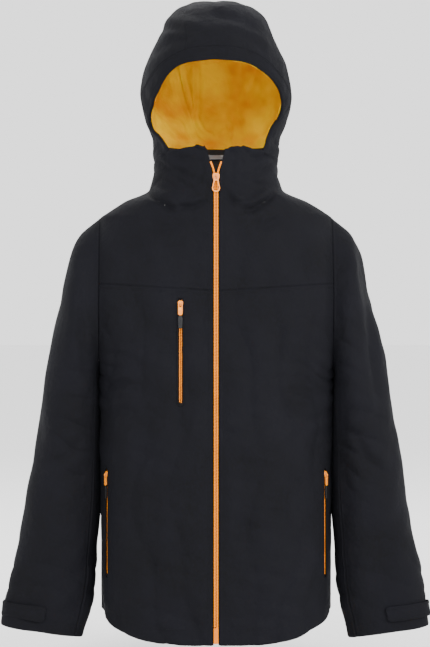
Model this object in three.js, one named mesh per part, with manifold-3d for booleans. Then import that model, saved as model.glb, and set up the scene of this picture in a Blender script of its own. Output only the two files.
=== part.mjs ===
// Hooded ski jacket, hanging as worn. Millimetres, +Z up, the front faces -Y, +X is the wearer's left.
// The origin lies between the shoulders at the base of the neck. Soft layers are plain closed slabs that
// share one body form: each layer lies a named depth below the outer surface.
import * as THREE from 'three';
import { mergeVertices } from 'three/addons/utils/BufferGeometryUtils.js';
import Module from 'manifold-3d';

const wasm = await Module();
wasm.setup();

// ---------- driving dimensions ----------
const chestHalfWidth = 203; // centre to side seam, and to the plane of each armhole
const hemZ = -781; // lowest point of the hem, at the centre front
const hemSideRise = 45; // how much higher the hem is at the side seams
const frontAtHem = 150; // how far forward the front edge stands at the hem
const frontAtNeck = 112; // and at the base of the neck
const armpitZ = -330;
const armholeTopZ = -48;
const armholeBulge = 37; // fullness that opens each armhole into an oval
const neckHalfWidth = 109;
const hoodTopZ = 329;
const hoodHalfWidth = 134.5;

const gap = 0.3; // between pieces that touch
const shellThickness = 3;
const waddingThickness = 5;
const liningThickness = 1.5;
const layerGap = 0.5;

const zipOpening = 7.5; // centre to each front edge
const facingWidth = 24; // centre to the front edge of the lining
const bagThickness = 2;
const handZipInset = 13; // from the side seam to each hand-pocket zip
const chestZipX = -61; // the chest zip is on the wearer's right
const far = 600; // past the jacket on every side

// depths of the layers below the outer surface
const waddingDepth = shellThickness + layerGap;
const liningDepth = waddingDepth + waddingThickness + layerGap;
const thinLiningDepth = shellThickness + layerGap;

// ---------- small helpers ----------
const X = new THREE.Vector3(1, 0, 0);
const Y = new THREE.Vector3(0, 1, 0);
const Z = new THREE.Vector3(0, 0, 1);
const rad = THREE.MathUtils.degToRad;

// a smooth curve through [position, value] pairs that never overshoots them
function through(points) {
  const rise = points.slice(1).map((p, i) => (p[1] - points[i][1]) / (p[0] - points[i][0]));
  const slope = points.map((p, i) => {
    if (i === 0) return rise[0];
    if (i === points.length - 1) return rise[i - 1];
    if (rise[i - 1] * rise[i] <= 0) return 0;
    return (2 * rise[i - 1] * rise[i]) / (rise[i - 1] + rise[i]);
  });
  return (at) => {
    let i = 0;
    while (i < points.length - 2 && at > points[i + 1][0]) i += 1;
    const span = points[i + 1][0] - points[i][0];
    const t = Math.min(Math.max((at - points[i][0]) / span, 0), 1);
    const a = (1 + 2 * t) * (1 - t) ** 2 * points[i][1] + t * (1 - t) ** 2 * span * slope[i];
    return a + t * t * (3 - 2 * t) * points[i + 1][1] + t * t * (t - 1) * span * slope[i + 1];
  };
}

function steps(from, to, count) {
  return Array.from({ length: count + 1 }, (_, i) => from + ((to - from) * i) / count);
}

// a superellipse corner power: cos or sin pulled towards a square
function pull(value, fullness) {
  return Math.sign(value) * Math.abs(value) ** (2 / fullness);
}

// turns a closed triangle mesh so that its faces point outwards
function outward(positions, faces) {
  const [a, b, c] = [new THREE.Vector3(), new THREE.Vector3(), new THREE.Vector3()];
  let volume = 0;
  for (const [i, j, k] of faces) {
    volume += a.copy(positions[i]).dot(b.copy(positions[j]).cross(c.copy(positions[k])));
  }
  const geometry = new THREE.BufferGeometry().setFromPoints(positions);
  geometry.setIndex(faces.flatMap(([i, j, k]) => (volume < 0 ? [i, k, j] : [i, j, k])));
  return geometry;
}

// a closed solid through a row of closed rings, with flat ends
function loft(rings) {
  const around = rings[0].length;
  const positions = rings.flat();
  const faces = [];
  for (let r = 0; r < rings.length - 1; r += 1) {
    for (let i = 0; i < around; i += 1) {
      const a = r * around + i;
      const b = r * around + ((i + 1) % around);
      faces.push([a, b, b + around], [a, b + around, a + around]);
    }
  }
  for (const [ring, first, flip] of [
    [rings[0], 0, true],
    [rings.at(-1), (rings.length - 1) * around, false],
  ]) {
    const middle = ring.reduce((sum, p) => sum.add(p), new THREE.Vector3()).divideScalar(around);
    positions.push(middle);
    const m = positions.length - 1;
    for (let i = 0; i < around; i += 1) {
      const [a, b] = [first + i, first + ((i + 1) % around)];
      faces.push(flip ? [m, b, a] : [m, a, b]);
    }
  }
  return outward(positions, faces);
}

// a closed slab between two grids of points with the same rows and columns
function slab(top, bottom) {
  const [rows, cols] = [top.length, top[0].length];
  const positions = [...top.flat(), ...bottom.flat()];
  const at = (layer, r, c) => layer * rows * cols + r * cols + c;
  const faces = [];
  for (let r = 0; r < rows - 1; r += 1) {
    for (let c = 0; c < cols - 1; c += 1) {
      faces.push([at(0, r, c), at(0, r, c + 1), at(0, r + 1, c + 1)]);
      faces.push([at(0, r, c), at(0, r + 1, c + 1), at(0, r + 1, c)]);
      faces.push([at(1, r, c), at(1, r + 1, c + 1), at(1, r, c + 1)]);
      faces.push([at(1, r, c), at(1, r + 1, c), at(1, r + 1, c + 1)]);
    }
  }
  const wall = (r1, c1, r2, c2) => {
    faces.push([at(0, r1, c1), at(1, r1, c1), at(1, r2, c2)]);
    faces.push([at(0, r1, c1), at(1, r2, c2), at(0, r2, c2)]);
  };
  for (let c = 0; c < cols - 1; c += 1) {
    wall(0, c, 0, c + 1);
    wall(rows - 1, c + 1, rows - 1, c);
  }
  for (let r = 0; r < rows - 1; r += 1) {
    wall(r + 1, 0, r, 0);
    wall(r, cols - 1, r + 1, cols - 1);
  }
  return outward(positions, faces);
}

function toSolid(geometry) {
  const bare = geometry.clone();
  bare.deleteAttribute('normal');
  bare.deleteAttribute('uv');
  const merged = mergeVertices(bare, 1e-4);
  const vertProperties = new Float32Array(merged.attributes.position.array);
  const triVerts = new Uint32Array(merged.index.array);
  return new wasm.Manifold(new wasm.Mesh({ numProp: 3, vertProperties, triVerts }));
}

function toGeometry(solid) {
  const mesh = solid.getMesh();
  const geometry = new THREE.BufferGeometry();
  geometry.setAttribute('position', new THREE.BufferAttribute(Float32Array.from(mesh.vertProperties), 3));
  geometry.setIndex(new THREE.BufferAttribute(Uint32Array.from(mesh.triVerts), 1));
  return geometry;
}

// a box by its lowest and highest corners, moved by an optional matrix
function box(low, high, matrix = new THREE.Matrix4()) {
  const [a, b] = [new THREE.Vector3(...low), new THREE.Vector3(...high)];
  const size = b.clone().sub(a);
  const geometry = new THREE.BoxGeometry(size.x, size.y, size.z);
  geometry.translate(...a.add(b).multiplyScalar(0.5));
  return toSolid(geometry.applyMatrix4(matrix));
}

// an outline in X and Z, extruded from y = near to y = deep
function prism(outline, near, deep) {
  const shape = new THREE.Shape(outline.map(([x, z]) => new THREE.Vector2(x, z)));
  const geometry = new THREE.ExtrudeGeometry(shape, { depth: deep - near, bevelEnabled: false });
  const upright = new THREE.Matrix4().makeBasis(X, Z, Y.clone().negate()).setPosition(0, deep, 0);
  return toSolid(geometry.applyMatrix4(upright));
}

// a flat outline in X and Z with holes, as thick as its depths along Y
function plate(outline, holes, near, deep) {
  const cut = (solid, hole) => solid.subtract(prism(hole, near - 1, deep + 1));
  return holes.reduce(cut, prism(outline, near, deep));
}

function rectangle(x0, z0, x1, z1) {
  return [[x0, z0], [x1, z0], [x1, z1], [x0, z1]];
}

// ---------- the body form: torso, neck and hood in one ----------
// half width of each level above the armholes: [z, half width]
const upperWidth = through([
  [armholeTopZ, chestHalfWidth],
  [-22, 162],
  [0, neckHalfWidth + 8],
  [30, neckHalfWidth],
  [80, neckHalfWidth + 2],
  [120, 0.93 * hoodHalfWidth],
  [165, hoodHalfWidth],
  [210, 0.94 * hoodHalfWidth],
  [255, 0.8 * hoodHalfWidth],
  [hoodTopZ - 34, 0.65 * hoodHalfWidth],
  [hoodTopZ - 11, 0.5 * hoodHalfWidth],
  [hoodTopZ, 0.32 * hoodHalfWidth],
]);
// how far the hood's front stands forward: [z, depth]
const hoodFront = through([
  [60, 109],
  [120, 122],
  [165, 138],
  [225, 154],
  [262, 142],
  [hoodTopZ - 34, 108],
  [hoodTopZ - 11, 74],
  [hoodTopZ, 42],
]);
// how far the back stands behind the origin: [z, depth]
const backDepth = through([
  [hemZ, 118],
  [-450, 104],
  [-250, 116],
  [-130, 118],
  [armholeTopZ, 104],
  [0, 90],
  [40, 90],
  [80, 100],
  [120, 122],
  [165, 136],
  [210, 141],
  [255, 131],
  [hoodTopZ - 34, 103],
  [hoodTopZ - 11, 72],
  [hoodTopZ, 42],
]);
// how square each level is: 2 is an ellipse
const fullness = through([
  [armpitZ, 2.5],
  [-190, 2.4],
  [-100, 2.1],
  [armholeTopZ, 1.8],
  [0, 2.05],
  [80, 2.15],
  [165, 2.3],
  [hoodTopZ, 2.2],
]);
const frontLean = Math.atan((frontAtHem - frontAtNeck) / -hemZ);
const straightFrontTopZ = 60; // the zip runs straight up to here

function halfWidth(z) {
  if (z >= armholeTopZ) return upperWidth(z);
  if (z <= armpitZ) return chestHalfWidth;
  return chestHalfWidth + armholeBulge * Math.sin((Math.PI * (z - armpitZ)) / (armholeTopZ - armpitZ));
}

function frontDepth(z) {
  return z <= straightFrontTopZ ? frontAtNeck - z * Math.tan(frontLean) : hoodFront(z);
}

// a point of the body form at a level, an angle (-90 degrees is the centre front) and a depth below its
// surface
function formPoint(z, angle, depth) {
  const slope = halfWidth(z + 0.5) - halfWidth(z - 0.5);
  const level = 1 / Math.hypot(1, slope);
  const width = halfWidth(z) - depth * level;
  const along = Math.sin(angle) < 0 ? frontDepth(z) - depth : backDepth(z) - depth;
  return new THREE.Vector3(
    width * pull(Math.cos(angle), fullness(z)),
    along * pull(Math.sin(angle), fullness(z)),
    z + depth * slope * level,
  );
}

const torsoLevels = [...steps(hemZ - 12, armpitZ, 3), ...steps(armpitZ, armholeTopZ, 6).slice(1)];
const neckLevels = [-30, -10, 10, 40, 80];
const hoodLevels = [...neckLevels, 125, 165, 205, 245, ...[49, 24, 2].map((below) => hoodTopZ - below)];
const fine = 24; // sides of a shell level, and of the layers inside it
const coarse = 12;

// everything inside the form at a depth below its surface, with a spare length past the hem
function form(depth, around, spare = 0) {
  const angles = steps(-180, 180, around).slice(0, -1).map(rad);
  const rings = [...torsoLevels, ...hoodLevels].map((z) => angles.map((a) => formPoint(z, a, depth)));
  if (spare > 0) rings.unshift(rings[0].map((p) => p.clone().setZ(p.z - spare)));
  return toSolid(loft(rings));
}

function layer(depth, thickness, around) {
  return form(depth, around).subtract(form(depth + thickness, around, 20));
}

// how far back the form's surface stands at a half width and a height, at a depth below the outer surface
function backSurface(x, z, depth) {
  let level = z;
  for (let i = 0; i < 6; i += 1) level += z - formPoint(level, Math.PI / 2, depth).z;
  const { y } = formPoint(level, Math.PI / 2, depth);
  const width = formPoint(level, 0, depth).x;
  return y * (1 - (x / width) ** fullness(level)) ** (1 / fullness(level));
}

// ---------- cutting planes and outlines ----------
const frontHalf = box([-far, -far, -1500], [far, -gap / 2, 1500]);
const backHalf = box([-far, gap / 2, -1500], [far, far, 1500]);
const betweenArmholes = box([-chestHalfWidth, -far, -1500], [chestHalfWidth, far, 1500]);

// everything on one side of a plane that tilts about X: above it (side = 1) or below it (side = -1)
function tilted(throughY, throughZ, tilt, side) {
  const matrix = new THREE.Matrix4().makeRotationX(tilt).setPosition(0, throughY, throughZ);
  const [low, high] = side > 0 ? [gap / 2, 1500] : [-1500, -gap / 2];
  return box([-far, -far * 2, low], [far, far * 2, high], matrix);
}

function tiltBetween(frontY, frontZ, backY, backZ) {
  return Math.atan2(backZ - frontZ, backY - frontY);
}

// the neck seam dips at the front; the hood seam drops towards the nape
const neckSeam = { y: 0, z: -4, tilt: tiltBetween(-frontAtNeck, -25, 90, 12) };
const hoodSeam = { y: 0, z: 43, tilt: tiltBetween(-frontAtNeck, 70, 93, 22) };
const belowNeck = tilted(neckSeam.y, neckSeam.z, neckSeam.tilt, -1);
const aboveNeck = tilted(neckSeam.y, neckSeam.z, neckSeam.tilt, 1);
const belowHoodSeam = tilted(hoodSeam.y, hoodSeam.z, hoodSeam.tilt, -1);
const aboveHoodSeam = tilted(hoodSeam.y, hoodSeam.z, hoodSeam.tilt, 1);

// what hangs below the curved hem, raised by an allowance
function belowHem(raise) {
  const curve = steps(-1.15, 1.15, 16).map((t) => [
    t * chestHalfWidth,
    hemZ + raise + hemSideRise * Math.abs(t) ** 4,
  ]);
  const edge = 1.15 * chestHalfWidth;
  return prism([[-edge, hemZ - 100], [edge, hemZ - 100], ...curve.reverse()], -far, far);
}

// yoke seam: level at the chest zip, rising to the armholes
const yokeSeamZ = -180;
const yokeSeamRise = 14;
function aboveYoke(shift) {
  const z = yokeSeamZ + shift;
  const edge = chestHalfWidth + 20;
  const top = 60; // above the neck seam
  const side = z + yokeSeamRise;
  return prism([[0, z], [edge, side], [edge, top], [-edge, top], [-edge, side]], -far, far);
}

// the face opening, from the collar's top edge to the brim, grown by an allowance
const faceHalfWidth = 113;
const faceTopZ = 210;
const faceBottomZ = 63;
function faceOutline(grow) {
  const halves = [
    [0, faceTopZ + 2],
    [36, faceTopZ],
    [72, faceTopZ - 13],
    [98, faceTopZ - 36],
    [faceHalfWidth - 3, faceTopZ - 60],
    [faceHalfWidth, faceTopZ - 86],
    [97, faceBottomZ + 30],
    [80, faceBottomZ],
  ];
  const middle = (faceTopZ + faceBottomZ) / 2;
  const grown = halves.map(([x, z]) => {
    const away = Math.hypot(x, z - middle);
    return [x * (1 + grow / away), z + ((z - middle) * grow) / away];
  });
  return [...grown, ...grown.slice(1).reverse().map(([x, z]) => [-x, z])];
}
const faceCut = prism(faceOutline(0), -far, -25);

// ---------- sleeves ----------
const armholeMiddleZ = (armpitZ + armholeTopZ) / 2;
const armholeHalfHeight = (armholeTopZ - armpitZ) / 2;
const cuffHalfDepth = 30;
// the outer and the inner edge of a sleeve, from the armhole to the cuff: [x past the armhole plane, z]
const outerEdge = [
  [gap, armholeTopZ], [42, -88], [71, -195], [104, -365], [131, -535], [163, -704], [173, -762],
].map(([x, z]) => new THREE.Vector3(chestHalfWidth + x, 0, z));
const innerEdge = [
  [gap, armpitZ], [1.5, -336], [2.5, -356], [3, -440], [3, -560], [14, -715], [28, -784],
].map(([x, z]) => new THREE.Vector3(chestHalfWidth + x, 0, z));
const sleeveHalfDepth = through([
  [0, 80], [1, 88], [2, 88], [3, 82], [4, 70], [5, 42], [6, cuffHalfDepth],
]);
const sleeveForward = through([[0, 0], [3, 4], [6, 22]]); // the cuffs hang a little forward
const outerCurve = new THREE.CatmullRomCurve3(outerEdge, false, 'centripetal');
const innerCurve = new THREE.CatmullRomCurve3(innerEdge, false, 'centripetal');
const sleeveStations = outerEdge.length - 1;

// half depth of the armhole oval at a level: where the body form crosses the armhole plane
function armholeHalfDepth(z, reach) {
  const share = 1 - (chestHalfWidth / halfWidth(z)) ** fullness(z);
  return reach(z) * Math.max(share, 0) ** (1 / fullness(z));
}

// a point of the wearer's left sleeve: station 0 is the armhole and the last one the cuff edge;
// angle 0 is the outer edge, 90 degrees the front and 180 the inner edge
function sleevePoint(station, angle, depth) {
  const t = Math.min(Math.max(station / sleeveStations, 0), 1);
  const outer = outerCurve.getPoint(t);
  const inner = innerCurve.getPoint(t);
  const middle = outer.clone().add(inner).multiplyScalar(0.5);
  const across = outer.clone().sub(inner);
  const half = across.length() / 2 - depth;
  across.normalize();
  const side = Math.sin(angle);
  const loose = (sleeveHalfDepth(station) - depth) * Math.abs(pull(side, 2.2));
  const z = armholeMiddleZ + armholeHalfHeight * Math.cos(angle);
  const sewn = Math.max(armholeHalfDepth(z, side > 0 ? frontDepth : backDepth) - depth, 0);
  const settled = Math.min(station / 1.2, 1);
  const reach = sewn * (1 - settled) + loose * settled;
  const point = middle.addScaledVector(across, half * (settled * pull(Math.cos(angle), 2.2)
    + (1 - settled) * Math.cos(angle)));
  point.y -= Math.sign(side) * reach + sleeveForward(station);
  return point;
}

// everything inside a sleeve at a depth below its surface; spare lengthens both ends
function sleeveForm(depth, around, spare = 0) {
  const rings = steps(0, sleeveStations, sleeveStations * 2).map((station) =>
    steps(0, 360, around).slice(0, -1).map((a) => sleevePoint(station, rad(a), depth)));
  if (spare > 0) {
    const cuffDirection = rings.at(-1)[0].clone().sub(rings.at(-2)[0]).normalize();
    rings.unshift(rings[0].map((p) => p.clone().setX(p.x - spare)));
    rings.push(rings.at(-1).map((p) => p.clone().addScaledVector(cuffDirection, spare)));
  }
  return toSolid(loft(rings));
}

function sleeveLayer(depth, thickness, around) {
  return sleeveForm(depth, around).subtract(sleeveForm(depth + thickness, around, 6));
}

// a strip on the sleeve between two stations and two angles; its depths are functions of the share along it
function sleeveStrip(stations, angles, pieces, top, bottom) {
  const rows = steps(stations[0], stations[1], 2);
  const shares = steps(0, 1, pieces);
  const grid = (depth) => rows.map((station) => shares.map((share) =>
    sleevePoint(station, rad(angles[0] + (angles[1] - angles[0]) * share), depth(share))));
  return slab(grid(top), grid(bottom));
}

// ---------- zips ----------
// A zip is built in its own frame: +Z up along the chain from the bottom stop, X across it, and -Y out of the
// garment, with the outer surface of the shell at y = 0.
const chain = { top: 0.8, bottom: 5 };
const tape = { top: 4.2, bottom: 5 };
const centreSlit = 0.55; // half the slit between the two rows of teeth, where the slider's web runs
const running = 0.4; // clearance round a slider
const bar = 0.6; // half the side of a pull's bar
const frontZip = { teeth: 3.6, tapeHalf: 14, sliderHalf: 6.2, sliderLength: 14, slot: zipOpening };
const smallZip = { teeth: 2.3, tapeHalf: 11, sliderHalf: 4.6, sliderLength: 10, slot: 6 };

function zipFrame(origin, up, out) {
  const z = up.clone().normalize();
  const y = out.clone().negate().addScaledVector(z, out.dot(z)).normalize();
  const x = new THREE.Vector3().crossVectors(y, z);
  return new THREE.Matrix4().makeBasis(x, y, z).setPosition(origin);
}

// the point of the front of the body form at x and z
function onFront(x, z) {
  const rest = Math.max(1 - (Math.abs(x) / halfWidth(z)) ** fullness(z), 0);
  return new THREE.Vector3(x, -frontDepth(z) * rest ** (1 / fullness(z)), z);
}

// the zip frame on the front of the body form at x, between two levels
function surfaceZipFrame(x, bottomZ, topZ) {
  const [low, high] = [onFront(x, bottomZ), onFront(x, topZ)];
  const middleZ = (bottomZ + topZ) / 2;
  const across = onFront(x + 3, middleZ).sub(onFront(x - 3, middleZ));
  const up = high.clone().sub(low);
  const out = new THREE.Vector3().crossVectors(across, up);
  return { frame: zipFrame(low, up, out), length: up.length() };
}

// an H-shaped slider with an arched bail; its lower end is at the given height
function sliderSolid(zip, at) {
  const { sliderHalf: half, sliderLength: length } = zip;
  const web = centreSlit - running + 0.1;
  const [plateOut, plateIn] = [chain.top - running - 1.8, chain.top - running];
  const [backIn, backOut] = [chain.bottom + running, chain.bottom + running + 1.5];
  const body = box([-half, plateOut, at], [half, plateIn, at + length])
    .add(box([-half, backIn, at], [half, backOut, at + length]))
    .add(box([-web, plateOut + 0.5, at], [web, backIn + 0.5, at + length]));
  const bail = bailSize(zip);
  const archTop = plateOut - bail.height;
  const arch = box([-bail.half, archTop, at + bail.from], [bail.half, plateOut + 0.4, at + bail.to]);
  const eye = box([-bail.half - 1, archTop + bail.wall, at + bail.from + bail.wall],
    [bail.half + 1, plateOut, at + bail.to - bail.wall]);
  return body.add(arch.subtract(eye));
}

function bailSize(zip) {
  return { half: 1.5, height: 4, wall: 1.2, from: zip.sliderLength - 10, to: zip.sliderLength - 3 };
}

// the middle of the bar on which a pull swings, in the zip's frame
function pullPivot(zip, at) {
  const bail = bailSize(zip);
  const plateOut = chain.top - running - 1.8;
  return { y: plateOut - (bail.height - bail.wall) / 2, z: at + bail.to - bail.wall - 0.5 - bar };
}

// a pull: a plate with a window round the bail, widening to a rounded end with a slot
function pullSolid(zip, at, length, endHalf) {
  const pivot = pullPivot(zip, at);
  const [near, deep] = [pivot.y - bar, pivot.y + bar];
  const neckHalf = 4;
  const windowLow = pivot.z - 5.8;
  const endZ = pivot.z - length + endHalf;
  const round = steps(180, 360, 8).map(rad).map((a) => [endHalf * Math.cos(a), endZ + endHalf * Math.sin(a)]);
  const outline = [...round, [neckHalf, windowLow], [neckHalf, pivot.z + bar], [-neckHalf, pivot.z + bar],
    [-neckHalf, windowLow]];
  const rim = 2.2;
  const holes = [rectangle(-2, windowLow, 2, pivot.z - bar)];
  const [wide, narrow] = [endHalf - rim, neckHalf - rim];
  if (wide > narrow) {
    const [low, high] = [endZ - wide * 0.6, windowLow - rim];
    holes.push([[-wide, low], [wide, low], [narrow, high], [-narrow, high]]);
  }
  return plate(outline, holes, near, deep);
}

// the soft rubber tab that hangs on below a pull
function tabSolid(zip, at, length, tabLength) {
  const pivot = pullPivot(zip, at);
  const top = pivot.z - length - gap;
  const half = [[3, top], [4.2, top - 6], [3.4, top - tabLength]];
  const outline = [...half, ...half.map(([x, z]) => [-x, z]).reverse()];
  return prism(outline, pivot.y - 1.1, pivot.y + 1.1);
}

// one row of teeth and its tape, on one side (-1 or 1)
function teethRow(zip, side, from, to) {
  const xs = [side * centreSlit, side * (centreSlit + zip.teeth)].sort((a, b) => a - b);
  return box([xs[0], chain.top, from], [xs[1], chain.bottom, to]);
}

function tapeRow(zip, side, from, to) {
  const xs = [side * (centreSlit + zip.teeth + gap), side * zip.tapeHalf].sort((a, b) => a - b);
  return box([xs[0], tape.top, from], [xs[1], tape.bottom, to]);
}

// a closed-end chain: two rows joined below the slider's travel
function closedChain(zip, length) {
  return teethRow(zip, -1, 0, length).add(teethRow(zip, 1, 0, length))
    .add(box([-centreSlit - 1, chain.top, -6], [centreSlit + 1, chain.bottom, 0.5]))
    .add(box([-centreSlit - zip.teeth, chain.top, -6], [centreSlit + zip.teeth, chain.bottom, 0]));
}

function closedTape(zip, length) {
  const inner = centreSlit + zip.teeth + gap;
  return box([-zip.tapeHalf, tape.top, -14], [zip.tapeHalf, tape.bottom, length + 14])
    .subtract(box([-inner, tape.top - 1, -6 - gap], [inner, tape.bottom + 1, length + gap]));
}

// what a zip cuts out of the layers that it is sewn into
function zipCuts(zip, frame, length) {
  const slot = box([-zip.slot, -40, -8], [zip.slot, 12, length + 5], frame);
  const seat = box([-zip.tapeHalf - gap, tape.top - gap, -14 - gap],
    [zip.tapeHalf + gap, chain.bottom + 3, length + 14 + gap], frame);
  return { shell: slot.add(seat), wadding: slot.add(seat) };
}

// ---------- the assembly ----------
const jacket = new THREE.Group();
const finishes = {
  shell: { color: 0x26262b, roughness: 0.85, metalness: 0 },
  lining: { color: 0xd99a12, roughness: 0.6, metalness: 0 },
  darkLining: { color: 0x1d1d20, roughness: 0.8, metalness: 0 },
  wadding: { color: 0xe6e4de, roughness: 1, metalness: 0 },
  tape: { color: 0x1b1b1d, roughness: 0.9, metalness: 0 },
  teeth: { color: 0xe0903c, roughness: 0.45, metalness: 0 },
  slider: { color: 0xe8963a, roughness: 0.35, metalness: 0.6 },
  rubber: { color: 0x2e2f33, roughness: 0.6, metalness: 0 },
  label: { color: 0xb9b9b6, roughness: 0.7, metalness: 0 },
  webbing: { color: 0x222226, roughness: 0.85, metalness: 0 },
};

function add(name, finish, solid, parent = jacket) {
  const geometry = solid.isBufferGeometry ? solid : toGeometry(solid);
  const mesh = new THREE.Mesh(geometry, new THREE.MeshStandardMaterial(finishes[finish]));
  mesh.name = name;
  parent.add(mesh);
}

// a group that stands in a zip's frame
function framed(matrix) {
  const group = new THREE.Group();
  group.applyMatrix4(matrix);
  jacket.add(group);
  return group;
}

// ----- front zip -----
const frontUp = new THREE.Vector3(0, Math.sin(frontLean), Math.cos(frontLean));
const frontOut = new THREE.Vector3(0, -Math.cos(frontLean), Math.sin(frontLean));
const frontFrame = zipFrame(new THREE.Vector3(0, -frontDepth(hemZ), hemZ), frontUp, frontOut);
const frontLength = (45 - hemZ) / Math.cos(frontLean);
const boxTop = 26; // the pin box stands this far up from the hem
const sliderRest = (9 - hemZ) / Math.cos(frontLean);
const frontGroup = framed(frontFrame);
for (const [name, side] of [['left', 1], ['right', -1]]) {
  add(`front_zip_teeth_${name}`, 'teeth', teethRow(frontZip, side, boxTop + gap, frontLength), frontGroup);
  add(`front_zip_tape_${name}`, 'tape', tapeRow(frontZip, side, 3, frontLength + 6), frontGroup);
}
add('front_zip_box', 'teeth', box([-4.2, chain.top - 0.6, 4], [4.2, chain.bottom, boxTop]), frontGroup);
add('front_zip_slider', 'slider', sliderSolid(frontZip, sliderRest), frontGroup);
add('front_zip_pull', 'slider', pullSolid(frontZip, sliderRest, 28, 7), frontGroup);
const frontChannel = {
  shell: box([-zipOpening, -80, -40], [zipOpening, 60, frontLength + 60], frontFrame)
    .add(box([-frontZip.tapeHalf - gap, tape.top - gap, -40],
      [frontZip.tapeHalf + gap, chain.bottom + 3, frontLength + 60], frontFrame)),
  lining: box([-facingWidth, -80, -40], [facingWidth, 60, frontLength + 60], frontFrame),
};

// ----- pocket zips, each named for the wearer's side -----
const handZipX = chestHalfWidth - handZipInset;
const besideZip = 14; // from a zip to the edge of its pocket bag
const chestBag = rectangle(-chestHalfWidth + 38, -385, chestZipX - besideZip, -192);
const handBag = rectangle(58, -700, handZipX - besideZip, -500);
const pockets = [
  { name: 'chest', zip: smallZip, x: chestZipX, low: -372, high: -196, bag: chestBag },
  { name: 'hand_left', zip: smallZip, x: handZipX, low: -672, high: -492, bag: handBag },
  { name: 'hand_right', zip: smallZip, x: -handZipX, low: -672, high: -492, bag: flipped(handBag) },
].map((pocket) => ({ ...pocket, ...surfaceZipFrame(pocket.x, pocket.low, pocket.high) }));
const pocketCuts = pockets.map((pocket) => zipCuts(pocket.zip, pocket.frame, pocket.length));

// a rectangle's mirror image on the other side of the zip line
function flipped([[x0, z0], , [x1, z1]]) {
  return rectangle(-x1, z0, -x0, z1);
}

const bagLayer = layer(waddingDepth - 0.1, bagThickness, fine).intersect(frontHalf);
const bagRoom = layer(waddingDepth - 0.5, bagThickness + 1, fine).intersect(frontHalf);

// a rectangle with its edges moved out
function grown([[x0, z0], , [x1, z1]], by) {
  return rectangle(x0 - by, z0 - by, x1 + by, z1 + by);
}

for (const [i, pocket] of pockets.entries()) {
  const { name, zip, frame, length, bag } = pocket;
  const group = framed(frame);
  const rest = length - zip.sliderLength - 1;
  add(`${name}_zip_teeth`, 'teeth', closedChain(zip, length), group);
  add(`${name}_zip_tape`, 'tape', closedTape(zip, length), group);
  add(`${name}_zip_slider`, 'slider', sliderSolid(zip, rest), group);
  add(`${name}_zip_pull`, 'slider', pullSolid(zip, rest, 20, 4), group);
  add(`${name}_zip_tab`, 'rubber', tabSolid(zip, rest, 20, 22), group);
  const bagSolid = bagLayer.intersect(prism(bag, -far, 0)).subtract(pocketCuts[i].shell);
  add(`${name}_pocket_bag`, 'darkLining', bagSolid);
}

// ----- torso -----
function withoutPocketZips(solid) {
  return pocketCuts.reduce((rest, cuts) => rest.subtract(cuts.shell), solid);
}

function leftOf(x) {
  return box([x, -far, -1500], [far, far, 1500]);
}

function rightOf(x) {
  return box([-far, -far, -1500], [x, far, 1500]);
}

const shell = layer(0, shellThickness, fine);
const torsoShell = shell.intersect(betweenArmholes).intersect(belowNeck).subtract(belowHem(0));
const frontShell = withoutPocketZips(torsoShell.intersect(frontHalf).subtract(frontChannel.shell));
const backShell = torsoShell.intersect(backHalf);
for (const [name, half] of [['left', leftOf(0)], ['right', rightOf(0)]]) {
  add(`front_panel_${name}`, 'shell', frontShell.intersect(half).subtract(aboveYoke(-gap / 2)));
  add(`front_yoke_${name}`, 'shell', frontShell.intersect(half).intersect(aboveYoke(gap / 2)));
}
add('back_panel', 'shell', backShell.subtract(aboveYoke(-gap / 2)));
add('back_yoke', 'shell', backShell.intersect(aboveYoke(gap / 2)));

const liningHem = 20; // the linings stop this far above the hem
const innerLimits = belowHem(liningHem);
const wadding = pockets.reduce(
  (rest, pocket) => rest.subtract(bagRoom.intersect(prism(grown(pocket.bag, 0.5), -far, 0))),
  pocketCuts.reduce((rest, cuts) => rest.subtract(cuts.wadding), layer(waddingDepth, waddingThickness, coarse)
    .intersect(betweenArmholes).intersect(belowNeck).subtract(innerLimits)),
);
const bodyLining = layer(liningDepth, liningThickness, coarse).intersect(betweenArmholes).intersect(belowNeck)
  .subtract(innerLimits);
const frontInner = frontHalf.subtract(frontChannel.lining);
for (const [name, half] of [['left', leftOf(0)], ['right', rightOf(0)]]) {
  add(`body_wadding_front_${name}`, 'wadding', wadding.intersect(frontInner).intersect(half));
  add(`body_lining_front_${name}`, 'lining', bodyLining.intersect(frontInner).intersect(half));
}
add('body_wadding_back', 'wadding', wadding.intersect(backHalf));
add('body_lining_back', 'lining', bodyLining.intersect(backHalf));
add('wind_flap', 'darkLining', box([-facingWidth + gap + 0.1, liningDepth, liningHem],
  [facingWidth - 8, liningDepth + liningThickness, frontLength - 20]), frontGroup);

// ----- collar and hood -----
const headShell = shell.intersect(aboveNeck).subtract(faceCut);
add('collar', 'shell', headShell.intersect(belowHoodSeam).subtract(frontChannel.shell.intersect(frontHalf)));
const hoodShell = headShell.intersect(aboveHoodSeam);
const brimDepth = 26;
const brimLowZ = 150;
const aboveBrimEnds = box([-far, -far, brimLowZ], [far, far, hoodTopZ + 50]);
const brimBand = (grow) => prism(faceOutline(grow), -far, -30).intersect(aboveBrimEnds);
const crownHalf = 52;
add('hood_brim', 'shell', hoodShell.intersect(brimBand(brimDepth)));
const behindBrim = hoodShell.subtract(brimBand(brimDepth + gap));
add('hood_centre_panel', 'shell', behindBrim.intersect(leftOf(-crownHalf)).intersect(rightOf(crownHalf)));
add('hood_side_panel_left', 'shell', behindBrim.intersect(leftOf(crownHalf + gap)));
add('hood_side_panel_right', 'shell', behindBrim.intersect(rightOf(-crownHalf - gap)));
const headLining = layer(thinLiningDepth, liningThickness, coarse).intersect(aboveNeck).subtract(faceCut);
add('hood_lining', 'lining', headLining.intersect(aboveHoodSeam));
const collarLining = headLining.intersect(belowHoodSeam);
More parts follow.
